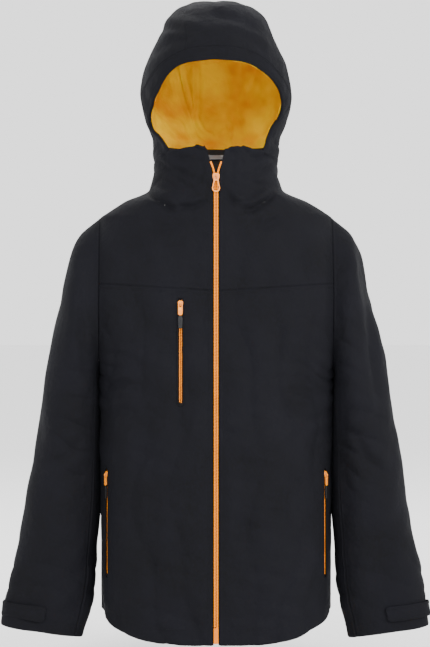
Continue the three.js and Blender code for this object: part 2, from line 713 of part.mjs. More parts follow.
add('collar_lining', 'darkLining', collarLining.subtract(frontChannel.lining.intersect(frontHalf)));

// the neck label and the hang loop hang inside the back of the neck
const labelZ = 66;
const napeDepth = thinLiningDepth + liningThickness + layerGap;
add('neck_label', 'label', layer(napeDepth, 0.8, coarse).intersect(backHalf)
  .intersect(box([-19, 0, labelZ - 7], [16, far, labelZ + 7])));
const loop = { half: 26, legs: 13, band: 4, thick: 3, z: -16 };
const liningSag = 3; // the lining lies flatter than the form between its seams
const loopBack = backSurface(loop.half, loop.z + loop.legs, liningDepth + liningThickness) - liningSag;
add('hang_loop', 'webbing', plate(
  rectangle(-loop.half, loop.z, loop.half, loop.z + loop.legs),
  [rectangle(-loop.half + loop.band, loop.z - 1, loop.half - loop.band, loop.z + loop.legs - loop.band)],
  loopBack - loop.thick, loopBack));

// ----- sleeves -----
const sleeveFine = 16;
const sleeveCoarse = 8;
const sleeveWadding = 4;
const sleeveLiningDepth = waddingDepth + sleeveWadding + layerGap;
const underSpread = 38; // degrees from the inner edge to each under seam
const sleeveStep = 360 / sleeveFine;
const cuffTab = { stations: [5.3, 5.75], angles: [-3 * sleeveStep, 4 * sleeveStep], pieces: 7, thickness: 2 };
const cuffPatch = { pieces: 2, thickness: 0.8 };
const patchStart = cuffTab.angles[1] - cuffPatch.pieces * sleeveStep;
const tabLift = (share) => -gap - Math.min(share * 1.6, 1) * (cuffPatch.thickness + gap);

// the wearer's right sleeve is the left one's mirror image
function mirrored(geometry) {
  const positions = geometry.attributes.position;
  for (let i = 0; i < positions.count; i += 1) positions.setX(i, -positions.getX(i));
  const index = geometry.index.array;
  for (let i = 0; i < index.length; i += 3) [index[i], index[i + 1]] = [index[i + 1], index[i]];
  return geometry;
}

// the wedge between the two seams that run down a sleeve's inner side, each at an angle from the inner edge
function underWedge(spread) {
  const corners = [[0, -30], [-spread, -8], [-spread, 12], [spread, 12], [spread, -8]];
  const rings = steps(0, sleeveStations, sleeveStations * 2).map((station) =>
    corners.map(([angle, depth]) => sleevePoint(station, rad(180 + angle), depth)));
  rings.unshift(rings[0].map((p) => p.clone().setX(p.x - 8)));
  rings.push(rings.at(-1).map((p) => p.clone().setZ(p.z - 8)));
  return toSolid(loft(rings));
}

function sleevePieces() {
  const shellTube = sleeveLayer(0, shellThickness, sleeveFine);
  const topAngles = cuffTab.angles;
  const patchAngles = [patchStart, topAngles[1]];
  const { stations, pieces, thickness } = cuffTab;
  return [
    ['sleeve_top_panel', 'shell', toGeometry(shellTube.subtract(underWedge(underSpread + 0.3)))],
    ['sleeve_under_panel', 'shell', toGeometry(shellTube.intersect(underWedge(underSpread)))],
    ['sleeve_wadding', 'wadding', toGeometry(sleeveLayer(waddingDepth, sleeveWadding, sleeveCoarse))],
    ['sleeve_lining', 'lining', toGeometry(sleeveLayer(sleeveLiningDepth, liningThickness, sleeveCoarse))],
    ['cuff_tab', 'shell', sleeveStrip(stations, topAngles, pieces, (at) => tabLift(at) - thickness, tabLift)],
    ['cuff_patch', 'webbing', sleeveStrip(stations, patchAngles, cuffPatch.pieces,
      () => -gap - cuffPatch.thickness, () => -gap)],
  ];
}

for (const [name, finish, geometry] of sleevePieces()) add(`${name}_left`, finish, geometry);
for (const [name, finish, geometry] of sleevePieces()) add(`${name}_right`, finish, mirrored(geometry));

export default jacket;
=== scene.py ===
"""Ski jacket: a padded hooded shell with a bright lining and orange zips.

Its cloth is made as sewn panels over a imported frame. Lengths are in millimetres unless a line says metres.
"""

import math

import bmesh
import bpy
import numpy as np
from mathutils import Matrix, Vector


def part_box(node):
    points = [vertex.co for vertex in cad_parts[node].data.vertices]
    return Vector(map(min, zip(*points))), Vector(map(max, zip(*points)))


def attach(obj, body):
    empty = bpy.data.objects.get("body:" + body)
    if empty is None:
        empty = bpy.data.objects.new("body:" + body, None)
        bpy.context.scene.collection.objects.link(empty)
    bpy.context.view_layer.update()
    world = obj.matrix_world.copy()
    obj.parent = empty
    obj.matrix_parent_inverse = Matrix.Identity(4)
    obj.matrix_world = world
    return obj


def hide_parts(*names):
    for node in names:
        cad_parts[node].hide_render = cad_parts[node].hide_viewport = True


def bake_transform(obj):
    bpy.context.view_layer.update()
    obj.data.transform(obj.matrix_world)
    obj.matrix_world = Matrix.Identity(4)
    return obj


bl_info = {
    "name": "Ski Jacket",
    "version": (1, 0, 0),
    "blender": (4, 5, 0),
    "location": "View3D > Sidebar > Ski Jacket",
    "description": "Makes a padded ski jacket from sewn cloth panels, linings and zips",
    "category": "Add Mesh",
}

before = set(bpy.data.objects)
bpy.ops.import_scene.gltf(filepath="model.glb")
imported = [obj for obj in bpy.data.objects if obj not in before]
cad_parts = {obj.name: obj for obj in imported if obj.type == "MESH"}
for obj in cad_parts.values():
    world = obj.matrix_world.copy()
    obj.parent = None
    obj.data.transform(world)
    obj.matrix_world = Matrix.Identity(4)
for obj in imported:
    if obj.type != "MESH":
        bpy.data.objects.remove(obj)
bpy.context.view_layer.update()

# ---------- the form that the cloth lies on, in millimetres ----------
CHEST_HALF = 203.0
HEM_Z = -781.0
HEM_RISE = 45.0
ARMPIT_Z = -330.0
ARMHOLE_TOP_Z = -48.0
ARMHOLE_BULGE = 37.0
HOOD_HALF = 134.5
FRONT_LEAN = math.atan((150 - 112) / 781)
CROWN_HALF = 52.0


def through(points):
    """A smooth curve through (position, value) pairs that never overshoots them."""
    at, value = np.array(points, float).T
    rise = np.diff(value) / np.diff(at)
    slope = np.empty_like(value)
    slope[0], slope[-1] = rise[0], rise[-1]
    same = rise[:-1] * rise[1:] > 0
    both = np.where(same, rise[:-1] + rise[1:], 1)
    slope[1:-1] = np.where(same, 2 * rise[:-1] * rise[1:] / both, 0)

    def curve(x):
        x = np.asarray(x, float)
        i = np.clip(np.searchsorted(at, x, side="right") - 1, 0, len(at) - 2)
        span = at[i + 1] - at[i]
        t = np.clip((x - at[i]) / span, 0, 1)
        low = (1 + 2 * t) * (1 - t) ** 2 * value[i] + t * (1 - t) ** 2 * span * slope[i]
        high = t * t * (3 - 2 * t) * value[i + 1] + t * t * (t - 1) * span * slope[i + 1]
        return low + high

    return curve


def pull(value, fullness):
    """Cosine or sine pulled towards a square."""
    return np.sign(value) * np.abs(value) ** (2 / fullness)


upper_width = through(
    [(-48, 203), (-22, 162), (0, 117), (30, 109), (80, 111), (120, 0.93 * HOOD_HALF), (165, HOOD_HALF)]
    + [(210, 0.94 * HOOD_HALF), (255, 0.8 * HOOD_HALF), (295, 0.65 * HOOD_HALF), (318, 0.5 * HOOD_HALF)]
    + [(329, 0.32 * HOOD_HALF)]
)
hood_front = through(
    [(60, 109), (120, 122), (165, 138), (225, 154), (262, 142), (295, 108), (318, 74), (329, 42)]
)
back_depth = through(
    [
        (HEM_Z, 118), (-450, 104), (-250, 116), (-130, 118), (-48, 104), (0, 90), (40, 90), (80, 100),
        (120, 122),
    ]
    + [(165, 136), (210, 141), (255, 131), (295, 103), (318, 72), (329, 42)]
)
fullness = through(
    [(-330, 2.5), (-190, 2.4), (-100, 2.1), (-48, 1.8), (0, 2.05), (80, 2.15), (165, 2.3), (329, 2.2)]
)


def half_width(z):
    swell = CHEST_HALF + ARMHOLE_BULGE * np.sin(math.pi * (z - ARMPIT_Z) / (ARMHOLE_TOP_Z - ARMPIT_Z))
    return np.where(z >= ARMHOLE_TOP_Z, upper_width(z), np.where(z <= ARMPIT_Z, CHEST_HALF, swell))


def front_depth(z):
    return np.where(z <= 60, 112 - z * math.tan(FRONT_LEAN), hood_front(z))


def form_point(z, angle, depth=0.0):
    """A point of the form: -90 degrees is the centre front, 0 the wearer's left side."""
    z, angle = np.broadcast_arrays(np.asarray(z, float), np.asarray(angle, float))
    slope = half_width(z + 0.5) - half_width(z - 0.5)
    level = 1 / np.hypot(1, slope)
    reach = np.where(np.sin(angle) < 0, front_depth(z), back_depth(z)) - depth
    n = fullness(z)
    x = (half_width(z) - depth * level) * pull(np.cos(angle), n)
    return np.stack([x, reach * pull(np.sin(angle), n), z + depth * slope * level], -1)


def angle_at(z, x):
    """How far round from the side the form's front has the half width x."""
    share = np.clip(np.abs(x) / half_width(z), 0, 1)
    return np.arccos(np.clip(share ** (fullness(z) / 2), 0, 1))


def neck_z(y):
    return -4 + 37 / 202 * y


def hood_seam_z(y):
    return 43 - 48 / 205 * y


def hem_z(x):
    return HEM_Z + HEM_RISE * np.abs(x / CHEST_HALF) ** 4


def yoke_z(x):
    return -180 + 14 * np.abs(x) / 223


def front_edge(z):
    """Half the space between the two front edges: it opens above the slider's place."""
    return 7.2 + 9.5 * np.clip((z - 14) / 48, 0, 1) ** 1.6


FACE_TOP_Z = 216.0
face_half = through(
    [
        (60, 83), (93, 101), (124, 118), (138, 119), (154, 115), (178, 103), (201, 78), (211, 54),
        (FACE_TOP_Z, 3),
    ]
)
FACE_LEAN = {"left": -9.0, "right": 12.0}


def centripetal(points):
    """A curve through points whose parameter is the point's number."""
    p = np.array(points, float)
    p = np.vstack([2 * p[0] - p[1], p, 2 * p[-1] - p[-2]])

    def curve(t):
        t = np.asarray(t, float)
        i = np.clip(np.floor(t).astype(int), 0, len(p) - 4)
        w = (t - i)[..., None]
        a, b, c, d = p[i], p[i + 1], p[i + 2], p[i + 3]
        gap = [np.sum((v - u) ** 2, -1, keepdims=True) ** 0.25 for u, v in ((a, b), (b, c), (c, d))]
        m1 = ((b - a) / gap[0] - (c - a) / (gap[0] + gap[1]) + (c - b) / gap[1]) * gap[1]
        m2 = ((c - b) / gap[1] - (d - b) / (gap[1] + gap[2]) + (d - c) / gap[2]) * gap[1]
        curved = (-3 * b + 3 * c - 2 * m1 - m2) * w**2 + (2 * b - 2 * c + m1 + m2) * w**3
        return b + m1 * w + curved

    return curve


outer_edge = centripetal(
    [(0.3, -48), (42, -88), (71, -195), (104, -365), (131, -535), (163, -704), (173, -762)]
)
inner_edge = centripetal(
    [(0.3, -330), (1.5, -336), (2.5, -356), (3, -440), (3, -560), (14, -715), (28, -784)]
)
sleeve_depth = through([(0, 80), (1, 88), (2, 88), (3, 82), (4, 70), (5, 42), (6, 30)])
sleeve_forward = through([(0, 0), (3, 4), (6, 22)])


def sleeve_point(station, angle, depth=0.0):
    """A point of the left sleeve. Station 0 is the armhole; 0 degrees is the outer edge and 90 the front."""
    station, angle = np.broadcast_arrays(np.asarray(station, float), np.asarray(angle, float))
    outer = outer_edge(station) + [CHEST_HALF, 0]
    inner = inner_edge(station) + [CHEST_HALF, 0]
    middle = (outer + inner) / 2
    across = outer - inner
    length = np.linalg.norm(across, axis=-1, keepdims=True)
    across = across / length
    side = np.sin(angle)
    loose = (sleeve_depth(station) - depth) * np.abs(pull(side, 2.2))
    z = -189 + 141 * np.cos(angle)
    share = np.maximum(1 - (CHEST_HALF / half_width(z)) ** fullness(z), 0) ** (1 / fullness(z))
    sewn = np.maximum(np.where(side > 0, front_depth(z), back_depth(z)) * share - depth, 0)
    settled = np.minimum(station / 1.2, 1)
    reach = sewn * (1 - settled) + loose * settled
    along = settled * pull(np.cos(angle), 2.2) + (1 - settled) * np.cos(angle)
    xz = middle + across * ((length[..., 0] / 2 - depth) * along)[..., None]
    y = -np.sign(side) * reach - sleeve_forward(station)
    return np.stack([xz[..., 0], y, xz[..., 1]], -1)


# ---------- folds ----------
def wander(points, spacing, seed):
    """Smooth unevenness, about -1 to 1, with the given distance between its crests."""
    random = np.random.default_rng(seed)
    total = np.zeros(points.shape[:-1])
    for _ in range(5):
        direction = random.normal(size=3)
        direction *= 2 * math.pi / (spacing * random.uniform(0.7, 1.5) * np.linalg.norm(direction))
        total += np.sin(points @ direction + random.uniform(0, 6.28))
    return total / 2.6


def creases(points, direction, spacing, seed, sharp=1.6):
    """Uneven folds across a direction: rounded crests, 0 to 1, between narrow valleys."""
    direction = np.array(direction, float) / np.linalg.norm(direction)
    phase = points @ direction * math.pi / spacing + 1.5 * wander(points, spacing * 4, seed)
    return 1 - (1 - np.abs(np.sin(phase))) ** sharp


def fold(points, path, width, depth, lip=0.7, front=True):
    """One fold seen from the front or back: a valley along a path of (x, z), with a raised lip beside it."""
    x, y, z = np.moveaxis(points, -1, 0)
    path = np.array(path, float)
    lengths = np.linalg.norm(np.diff(path, axis=0), axis=1)
    done = 0.0
    best = np.full(x.shape, 1e9)
    signed = np.zeros(x.shape)
    share = np.zeros(x.shape)
    for a, b, length in zip(path[:-1], path[1:], lengths):
        ux, uz = (b - a) / length
        along = np.clip((x - a[0]) * ux + (z - a[1]) * uz, 0, length)
        dx, dz = x - a[0] - along * ux, z - a[1] - along * uz
        away = np.hypot(dx, dz)
        nearer = away < best
        best = np.where(nearer, away, best)
        signed = np.where(nearer, np.sign(ux * dz - uz * dx) * away, signed)
        share = np.where(nearer, (done + along) / lengths.sum(), share)
        done += length
    fade = np.clip(np.sin(math.pi * np.clip(share, 0.02, 0.98)) * 1.6, 0, 1)
    facing = np.clip((-y if front else y) / 25, 0, 1)
    valley = -np.exp(-((best / width) ** 2))
    ridge = lip * np.exp(-(((signed - 1.9 * width) / (1.5 * width)) ** 2))
    return depth * fade * facing * (valley + ridge)


def near(value, middle, spread):
    return np.exp(-(((value - middle) / spread) ** 2))


def zip_calm(points, spread=13):
    """The share of the folds that is left beside the zips, which hold the cloth flat."""
    x, y, z = np.moveaxis(points, -1, 0)
    held = 0.75 * near(np.abs(x), 6, 15)
    for at, low, high, _ in POCKETS.values():
        beside = near(x, at, spread) * smooth((z - low + 64) / 26) * smooth((high + 24 - z) / 24)
        held = np.maximum(held, 0.9 * beside)
    return np.where(y < 0, 1 - held, 1)


def body_folds(points):
    """How far the body's cloth stands off its form, in millimetres."""
    x, y, z = np.moveaxis(points, -1, 0)
    low = np.clip((-60 - z) / 200, 0, 1)
    off = 4.2 * low * wander(points * [1, 1, 0.45], 120, 3)
    off += 1.5 * wander(points * [1, 1, 0.6], 52, 8)
    off += 0.7 * low * wander(points, 24, 9)
    off += 3.8 * low * creases(points, (1, 0.25, 0.06), 58, 21) * np.clip((-y - 20) / 60, 0, 1) - 0.8 * low
    pinch = near(np.abs(x), 200, 46) * near(z, -335, 62)
    off += 4.2 * pinch * creases(points, (0.35, 0, 1), 25, 5)
    off += 5.0 * near(np.abs(x), 172, 26) * near(z, -215, 120) * (y < 0)
    for path, width, depth in (
        ([(-122, -4), (-98, -24), (-66, -46)], 6, 7.0),
        ([(-70, -34), (-40, -36), (-12, -22)], 5, 5.5),
        ([(8, 8), (20, -14), (36, -36)], 6, 7.0),
        ([(38, -38), (62, -40), (84, -26), (104, -8)], 6, 6.5),
        ([(56, -60), (84, -68), (116, -52)], 8, 3.6),
        ([(-50, -62), (-84, -74), (-124, -60)], 9, 3.4),
        ([(22, -52), (40, -110), (44, -170)], 12, 1.6),
        ([(-30, -60), (-34, -130), (-48, -170)], 12, 1.5),
        ([(196, -372), (150, -350), (112, -352)], 7, 3.4),
        ([(198, -396), (160, -402), (128, -392)], 8, 2.6),
        ([(-197, -352), (-160, -338), (-124, -344)], 7, 3.2),
        ([(-198, -392), (-158, -384), (-130, -396)], 8, 2.4),
        ([(120, -420), (96, -520), (110, -620)], 16, 2.2),
        ([(-130, -430), (-100, -540), (-118, -660)], 16, 2.2),
        ([(60, -400), (48, -520), (58, -700)], 18, 1.8),
    ):
        off += fold(points, path, width, depth)
    for path, width, depth in (
        ([(-150, -70), (-60, -88), (60, -84), (150, -66)], 10, 2.6),
        ([(-90, -150), (-70, -300), (-84, -460)], 18, 3.0),
        ([(86, -160), (64, -320), (90, -500)], 18, 3.0),
        ([(-190, -340), (-120, -372), (-60, -366)], 9, 3.2),
        ([(190, -344), (124, -378), (66, -362)], 9, 3.2),
    ):
        off += fold(points, path, width, depth, front=False)
    return (
        off * zip_calm(points)
        + 1.4 * smooth((-330 - z) / 50) * smooth((z + 640) / 90) * smooth((np.abs(x) - 194) / 6)
    )


def hood_folds(points):
    """How far the hood's cloth stands off its form."""
    x, _, z = np.moveaxis(points, -1, 0)
    off = 1.1 * wander(points, 62, 14) + 0.5 * wander(points, 30, 15)
    off += 1.6 * np.clip((z - 60) / 60, 0, 1) * near(np.abs(x), CROWN_HALF / 2, 30) - 1
    off += 3.0 * near(z, 298, 30) * near(np.abs(x), 84, 34)
    off += 3.0 * near(z, 62, 26) * creases(points, (0.25, 0.1, 1), 22, 31)
    off += 2.6 * near(z, 12, 22) * creases(points, (0.6, 0, 1), 26, 33)
    for path, width, depth in (
        ([(-104, 282), (-60, 268), (-14, 262)], 8, 2.4),
        ([(-20, 300), (30, 288), (84, 262)], 9, 2.6),
        ([(10, 268), (56, 252), (98, 226)], 7, 2.0),
        ([(-118, 226), (-80, 250), (-30, 252)], 7, 1.8),
        ([(-128, 172), (-118, 146), (-124, 118)], 6, 1.2),
        ([(128, 178), (119, 150), (124, 118)], 6, 1.0),
        ([(-116, 96), (-84, 60), (-44, 44)], 6, 3.0),
        ([(-108, 52), (-76, 30), (-42, 22)], 5, 3.0),
        ([(112, 92), (88, 58), (48, 42)], 6, 3.0),
        ([(104, 46), (74, 24), (40, 16)], 5, 3.0),
        ([(34, 56), (26, 30), (30, 4)], 5, 1.8),
        ([(-30, 54), (-22, 28), (-30, 0)], 5, 1.8),
    ):
        off += fold(points, path, width, depth)
    for path, width, depth in (
        ([(-90, 60), (0, 48), (90, 62)], 8, 3.0),
        ([(-110, 120), (-80, 92), (-40, 86)], 8, 2.4),
        ([(110, 118), (84, 92), (46, 84)], 8, 2.4),
    ):
        off += fold(points, path, width, depth, front=False)
    return off


def sleeve_folds(points, seed):
    """How far a sleeve's cloth stands off its form; each sleeve has its own seed."""
    x, y, z = np.moveaxis(points, -1, 0)
    down = np.clip((-90 - z) / 90, 0, 1)
    off = 2.0 * down * wander(points * [1, 1, 0.5], 90, seed) + 0.8 * wander(points, 40, seed + 1)
    bend = near(z, -430, 90) * np.clip((310 - np.abs(x)) / 70, 0, 1)
    off += 5.0 * bend * (creases(points, (0.5, 0.2, 1), 34, seed + 2) - 0.5)
    off += 2.0 * near(z, -680, 60) * (creases(points, (0.15, 0.3, 1), 36, seed + 3) - 0.5)
    off += (
        3.2 * near(z, -300, 60) * np.clip((262 - np.abs(x)) / 40, 0, 1)
        * (creases(points, (0.7, 0, 1), 30, seed + 4) - 0.4)
    )
    beside = smooth((240 - np.abs(x)) / 24) * smooth((84 - np.abs(y)) / 26) * smooth((z + 660) / 60)
    close = smooth((-325 - z) / 45) * smooth((z + 640) / 90) * smooth((226 - np.abs(x)) / 12)
    return off * (1 - 0.92 * beside) + 3.0 * close


def left_sleeve_folds(points):
    off = sleeve_folds(points, 40)
    off += fold(points, [(246, -70), (262, -160), (274, -270), (284, -390)], 9, 6.5, lip=0.55)
    return off + fold(points, [(236, -420), (262, -470), (300, -500)], 8, 3.0)


def right_sleeve_folds(points):
    off = sleeve_folds(points, 60)
    off += fold(points, [(-224, -330), (-232, -240), (-236, -150)], 10, 3.5)
    return off + fold(points, [(-226, -430), (-262, -470), (-312, -482)], 8, 3.0)


# ---------- grids of points ----------
def resampled(points, lengths):
    """The rows of a grid moved so that they stand at these shares of each column's length."""
    steps = np.linalg.norm(np.diff(points, axis=0), axis=-1)
    run = np.vstack([np.zeros(steps.shape[1]), np.cumsum(steps, axis=0)])
    out = np.empty((len(lengths), *points.shape[1:]))
    for c in range(points.shape[1]):
        total = run[-1, c]
        if total < 1e-6:
            out[:, c] = points[0, c]
            continue
        at = run[:, c] + np.arange(len(run)) * 1e-9
        for k in range(3):
            out[:, c, k] = np.interp(lengths * total, at, points[:, c, k])
    return out


def spacing(total, step, fine=(True, True)):
    """Shares along a length, a step apart, and closer together beside a seam."""
    seam = np.array([0, 0.9, 2.0, 3.4, 5.2, 7.6, 10.8])
    low = seam if fine[0] else np.array([0.0])
    high = (total - seam[::-1]) if fine[1] else np.array([total])
    count = max(int(round((high[0] - low[-1]) / step)), 1)
    middle = np.linspace(low[-1], high[0], count + 1)[1:-1]
    return np.concatenate([low, middle, high]) / total


NO_SEAMS = ((False, False), (False, False))


def even(dense, step, fine=((True, True), (True, True))):
    """A grid whose rows and columns are evenly spaced over the surface that a dense grid describes."""
    height = np.linalg.norm(np.diff(dense, axis=0), axis=-1).sum(0).max()
    dense = resampled(dense, spacing(height, step, fine[0]))
    turned = dense.swapaxes(0, 1)
    width = np.linalg.norm(np.diff(turned, axis=0), axis=-1).sum(0).max()
    return resampled(turned, spacing(width, step, fine[1])).swapaxes(0, 1)


def grid_normals(grid):
    """Outward normals: rows run up and columns run to the right as seen from outside."""
    du = np.gradient(grid, axis=1)
    dv = np.gradient(grid, axis=0)
    normal = np.cross(du, dv)
    length = np.linalg.norm(normal, axis=-1, keepdims=True)
    return normal / np.maximum(length, 1e-9)


def runs(grid, axis):
    """The distance of every point from the first row (axis 0) or the first column (axis 1)."""
    steps = np.linalg.norm(np.diff(grid, axis=axis), axis=-1)
    lead = np.zeros_like(steps[:1] if axis == 0 else steps[:, :1])
    return np.concatenate([lead, np.cumsum(steps, axis=axis)], axis=axis)


def seam_dip(away):
    """How far cloth sinks beside a seam, and again under the topstitching 6 mm from it."""
    return (
        -1.3 * np.exp(-((away / 2.0) ** 2)) - 0.4 * np.exp(-(((away - 6.5) / 1.6) ** 2))
        + 0.3 * near(away, 3.6, 1.6)
    )


def roll_edge(grid, normals, side, radius, facing):
    """Turns one side of the cloth in over a radius and back up inside as a facing.

    The sides are bottom, top, first and last.
    """
    if side in ("first", "last"):
        turned, n = roll_edge(
            grid.swapaxes(0, 1),
            normals.swapaxes(0, 1),
            "bottom" if side == "first" else "top",
            radius,
            facing,
        )
        return turned.swapaxes(0, 1), n.swapaxes(0, 1)
    if side == "top":
        turned, n = roll_edge(grid[::-1], normals[::-1], "bottom", radius, facing)
        return turned[::-1], n[::-1]
    edge, normal = grid[0], normals[0]
    off = grid[0] - grid[2]
    off /= np.maximum(np.linalg.norm(off, axis=-1, keepdims=True), 1e-9)
    rows, directions = [], []
    for turn in np.radians([30, 60, 90, 120, 150, 180]):
        rows.append(edge + off * radius * math.sin(turn) - normal * radius * (1 - math.cos(turn)))
        directions.append(normal * math.cos(turn) + off * math.sin(turn))
    for inward in np.linspace(0, facing, 4)[1:]:
        rows.append(edge - off * inward - normal * 2 * radius)
        directions.append(-normal)
    rolled = np.stack(rows[::-1])
    return np.concatenate([rolled, grid]), np.concatenate([np.stack(directions[::-1]), normals])


# ---------- meshes ----------
def new_object(name, points, faces, material, uv=None, smooth=True):
    """A mesh object at the origin from points in millimetres."""
    mesh = bpy.data.meshes.new(name)
    mesh.from_pydata((np.asarray(points) * 0.001).tolist(), [], [list(map(int, f)) for f in faces])
    if uv is not None:
        layer = mesh.uv_layers.new(name="Cloth")
        index = np.empty(len(mesh.loops), int)
        mesh.loops.foreach_get("vertex_index", index)
        layer.data.foreach_set("uv", (uv[index] * 0.001).astype(np.float32).ravel())
    mesh.materials.append(material)
    if smooth:
        mesh.polygons.foreach_set("use_smooth", np.ones(len(mesh.polygons), bool))
    mesh.validate()
    obj = bpy.data.objects.new(name, mesh)
    bpy.context.scene.collection.objects.link(obj)
    return obj


def cloth(name, grid, material, thickness=1.0, normals=None, join=False, held="hung"):
    """A closed piece of cloth with the grid as its outer face.

    Join closes a tube where the last column meets the first. Held names how the cloth is kept in its place,
    though
    only whether it is set is read: it is None for a filled piece, whose flat cut is then not sized.
    """
    rows, cols = grid.shape[:2]
    normals = grid_normals(grid) if normals is None else normals
    if join:
        met = np.linalg.norm(grid[:, 0] - grid[:, -1], axis=-1) < 0.5
        middle = (normals[met, 0] + normals[met, -1]) / 2
        middle /= np.maximum(np.linalg.norm(middle, axis=-1, keepdims=True), 1e-9)
        normals = normals.copy()
        normals[met, 0] = normals[met, -1] = middle
        grid = grid.copy()
        grid[met, 0] = grid[met, -1] = (grid[met, 0] + grid[met, -1]) / 2
    under = grid - normals * thickness
    number = np.arange(rows * cols).reshape(rows, cols)
    a, b, c, d = number[:-1, :-1], number[:-1, 1:], number[1:, 1:], number[1:, :-1]
    outer = np.stack([a, b, c, d], -1).reshape(-1, 4)
    inner = np.stack([d, c, b, a], -1).reshape(-1, 4) + rows * cols
    rim = np.concatenate([number[0, ::-1], number[1:-1, 0], number[-1], number[-2:0:-1, -1]])
    follow = np.roll(rim, -1)
    sides = np.stack([rim, follow, follow + rows * cols, rim + rows * cols], -1)
    uv = np.stack([runs(grid, 1), runs(grid, 0)], -1).reshape(-1, 2)
    points = np.concatenate([grid.reshape(-1, 3), under.reshape(-1, 3)])
    obj = new_object(name, points, np.concatenate([outer, inner, sides]), material, np.concatenate([uv, uv]))
    if join:
        mesh = bmesh.new()
        mesh.from_mesh(obj.data)
        bmesh.ops.remove_doubles(mesh, verts=mesh.verts, dist=2e-5)
        seen = {}
        for face in list(mesh.faces):
            key = tuple(sorted(v.index for v in face.verts))
            seen.setdefault(key, []).append(face)
        doubled = [f for same in seen.values() if len(same) > 1 for f in same]
        bmesh.ops.delete(mesh, geom=doubled, context="FACES_ONLY")
        mesh.to_mesh(obj.data)
        mesh.free()
    if held:
        cut_size(grid)
    return obj


LEAST_FILLED = 0.31  # the smallest share of its rectangle that a cut may cover


def cut_size(grid):
    """Works out the width, length and area of a piece's flat cut, and keeps none of them."""
    width = runs(grid, 1)[:, -1].max() * 0.001
    length = runs(grid, 0)[-1].max() * 0.001
    a, b = grid[1:, 1:] - grid[:-1, :-1], grid[1:, :-1] - grid[:-1, 1:]
    area = float(np.linalg.norm(np.cross(a, b), axis=-1).sum() / 2) * 1e-6
    area = min(max(area, LEAST_FILLED * width * length), width * length)


def mirrored(grid):
    """The same cloth on the wearer's other side, with its columns still running to the wearer's left."""
    return grid[:, ::-1] * [-1, 1, 1]


def settle(obj, node, body, slot):
    """Ties a finished piece to its body and hides the frame node that it stands for; the slot is not used."""
    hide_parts(node)
    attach(obj, body)
    return obj


def plain(points, faces, name, material, bevel=0.0, segments=2):
    """A solid from points in millimetres, with rounded edges."""
    obj = new_object(name, points, faces, material, smooth=False)
    mesh = bmesh.new()
    mesh.from_mesh(obj.data)
    bmesh.ops.recalc_face_normals(mesh, faces=mesh.faces)
    if bevel:
        sharp = [e for e in mesh.edges if e.is_manifold and e.calc_face_angle(0) > 0.5]
        bmesh.ops.bevel(
            mesh,
            geom=sharp,
            offset=bevel * 0.001,
            segments=segments,
            profile=0.5,
            affect="EDGES",
            clamp_overlap=True,
        )
    for face in mesh.faces:
        face.smooth = True
    mesh.to_mesh(obj.data)
    mesh.free()
    obj.data.set_sharp_from_angle(angle=math.radians(50))
    return obj


# ---------- materials ----------
def linear(hex_value):
    """An sRGB hex value as the linear colour that a shader takes."""
    parts = [int(hex_value.lstrip("#")[i : i + 2], 16) / 255 for i in (0, 2, 4)]
    return [p / 12.92 if p <= 0.04045 else ((p + 0.055) / 1.055) ** 2.4 for p in parts] + [1.0]


def add(tree, kind, inputs=None, **settings):
    """Adds a node with its settings; an input is a value or another node's output."""
    made = tree.nodes.new(kind)
    for key, value in settings.items():
        setattr(made, key, value)
    for key, value in (inputs or {}).items():
        if isinstance(value, bpy.types.NodeSocket):
            tree.links.new(value, made.inputs[key])
        else:
            made.inputs[key].default_value = value
    return made


def new_material(name, colour, roughness, **surface):
    """A material with its shader's steady values set on the shader itself."""
    material = bpy.data.materials.new(name)
    material.use_nodes = True
    shader = material.node_tree.nodes["Principled BSDF"]
    shader.inputs["Base Color"].default_value = linear(colour)
    shader.inputs["Roughness"].default_value = roughness
    for key, value in surface.items():
        shader.inputs[key.replace("_", " ").title().replace("Ior", "IOR")].default_value = value
    return material, material.node_tree, shader


def mixed(tree, share, first, second):
    """The colour output of a mix between two hex colours or sockets."""
    inputs = {"Factor": share}
    made = add(tree, "ShaderNodeMix", inputs, data_type="RGBA")
    for index, value in ((6, first), (7, second)):
        if isinstance(value, str):
            made.inputs[index].default_value = linear(value)
        else:
            tree.links.new(value, made.inputs[index])
    return made.outputs[2]


def weave(tree, thread):
    """The height of a plain weave, 0 to 1, its threads the given metres apart on the cloth's own UV map."""
    uv = add(tree, "ShaderNodeUVMap", uv_map="Cloth")
    split = add(tree, "ShaderNodeSeparateXYZ", {0: uv.outputs[0]})
    waves = []
    for axis in (0, 1):
        turn = add(
            tree, "ShaderNodeMath", {0: split.outputs[axis], 1: math.pi / thread}, operation="MULTIPLY"
        )
        waves.append(add(tree, "ShaderNodeMath", {0: turn.outputs[0]}, operation="SINE").outputs[0])
    crossed = add(tree, "ShaderNodeMath", {0: waves[0], 1: waves[1]}, operation="MULTIPLY")
    return add(tree, "ShaderNodeMath", {0: crossed.outputs[0]}, operation="ABSOLUTE").outputs[0]


def clouds(tree, size, detail=4.0, contrast=(0.35, 0.65)):
    """Soft patches of about the given size in metres, 0 to 1."""
    place = add(tree, "ShaderNodeTexCoord")
    noise = add(
        tree, "ShaderNodeTexNoise", {"Vector": place.outputs["Object"], "Scale": 1 / size, "Detail": detail}
    )
    spread = add(
        tree,
        "ShaderNodeMapRange",
        {"Value": noise.outputs[0], "From Min": contrast[0], "From Max": contrast[1]},
    )
    return spread.outputs[0]


def waves_in(tree, pitch, direction, distortion=0.0):
    """Ribs across a direction of the object; the pitch in metres sets their scale."""
    place = add(tree, "ShaderNodeTexCoord")
    inputs = {"Vector": place.outputs["Object"], "Scale": 1 / pitch, "Distortion": distortion}
    return add(tree, "ShaderNodeTexWave", inputs, bands_direction=direction).outputs["Fac"]


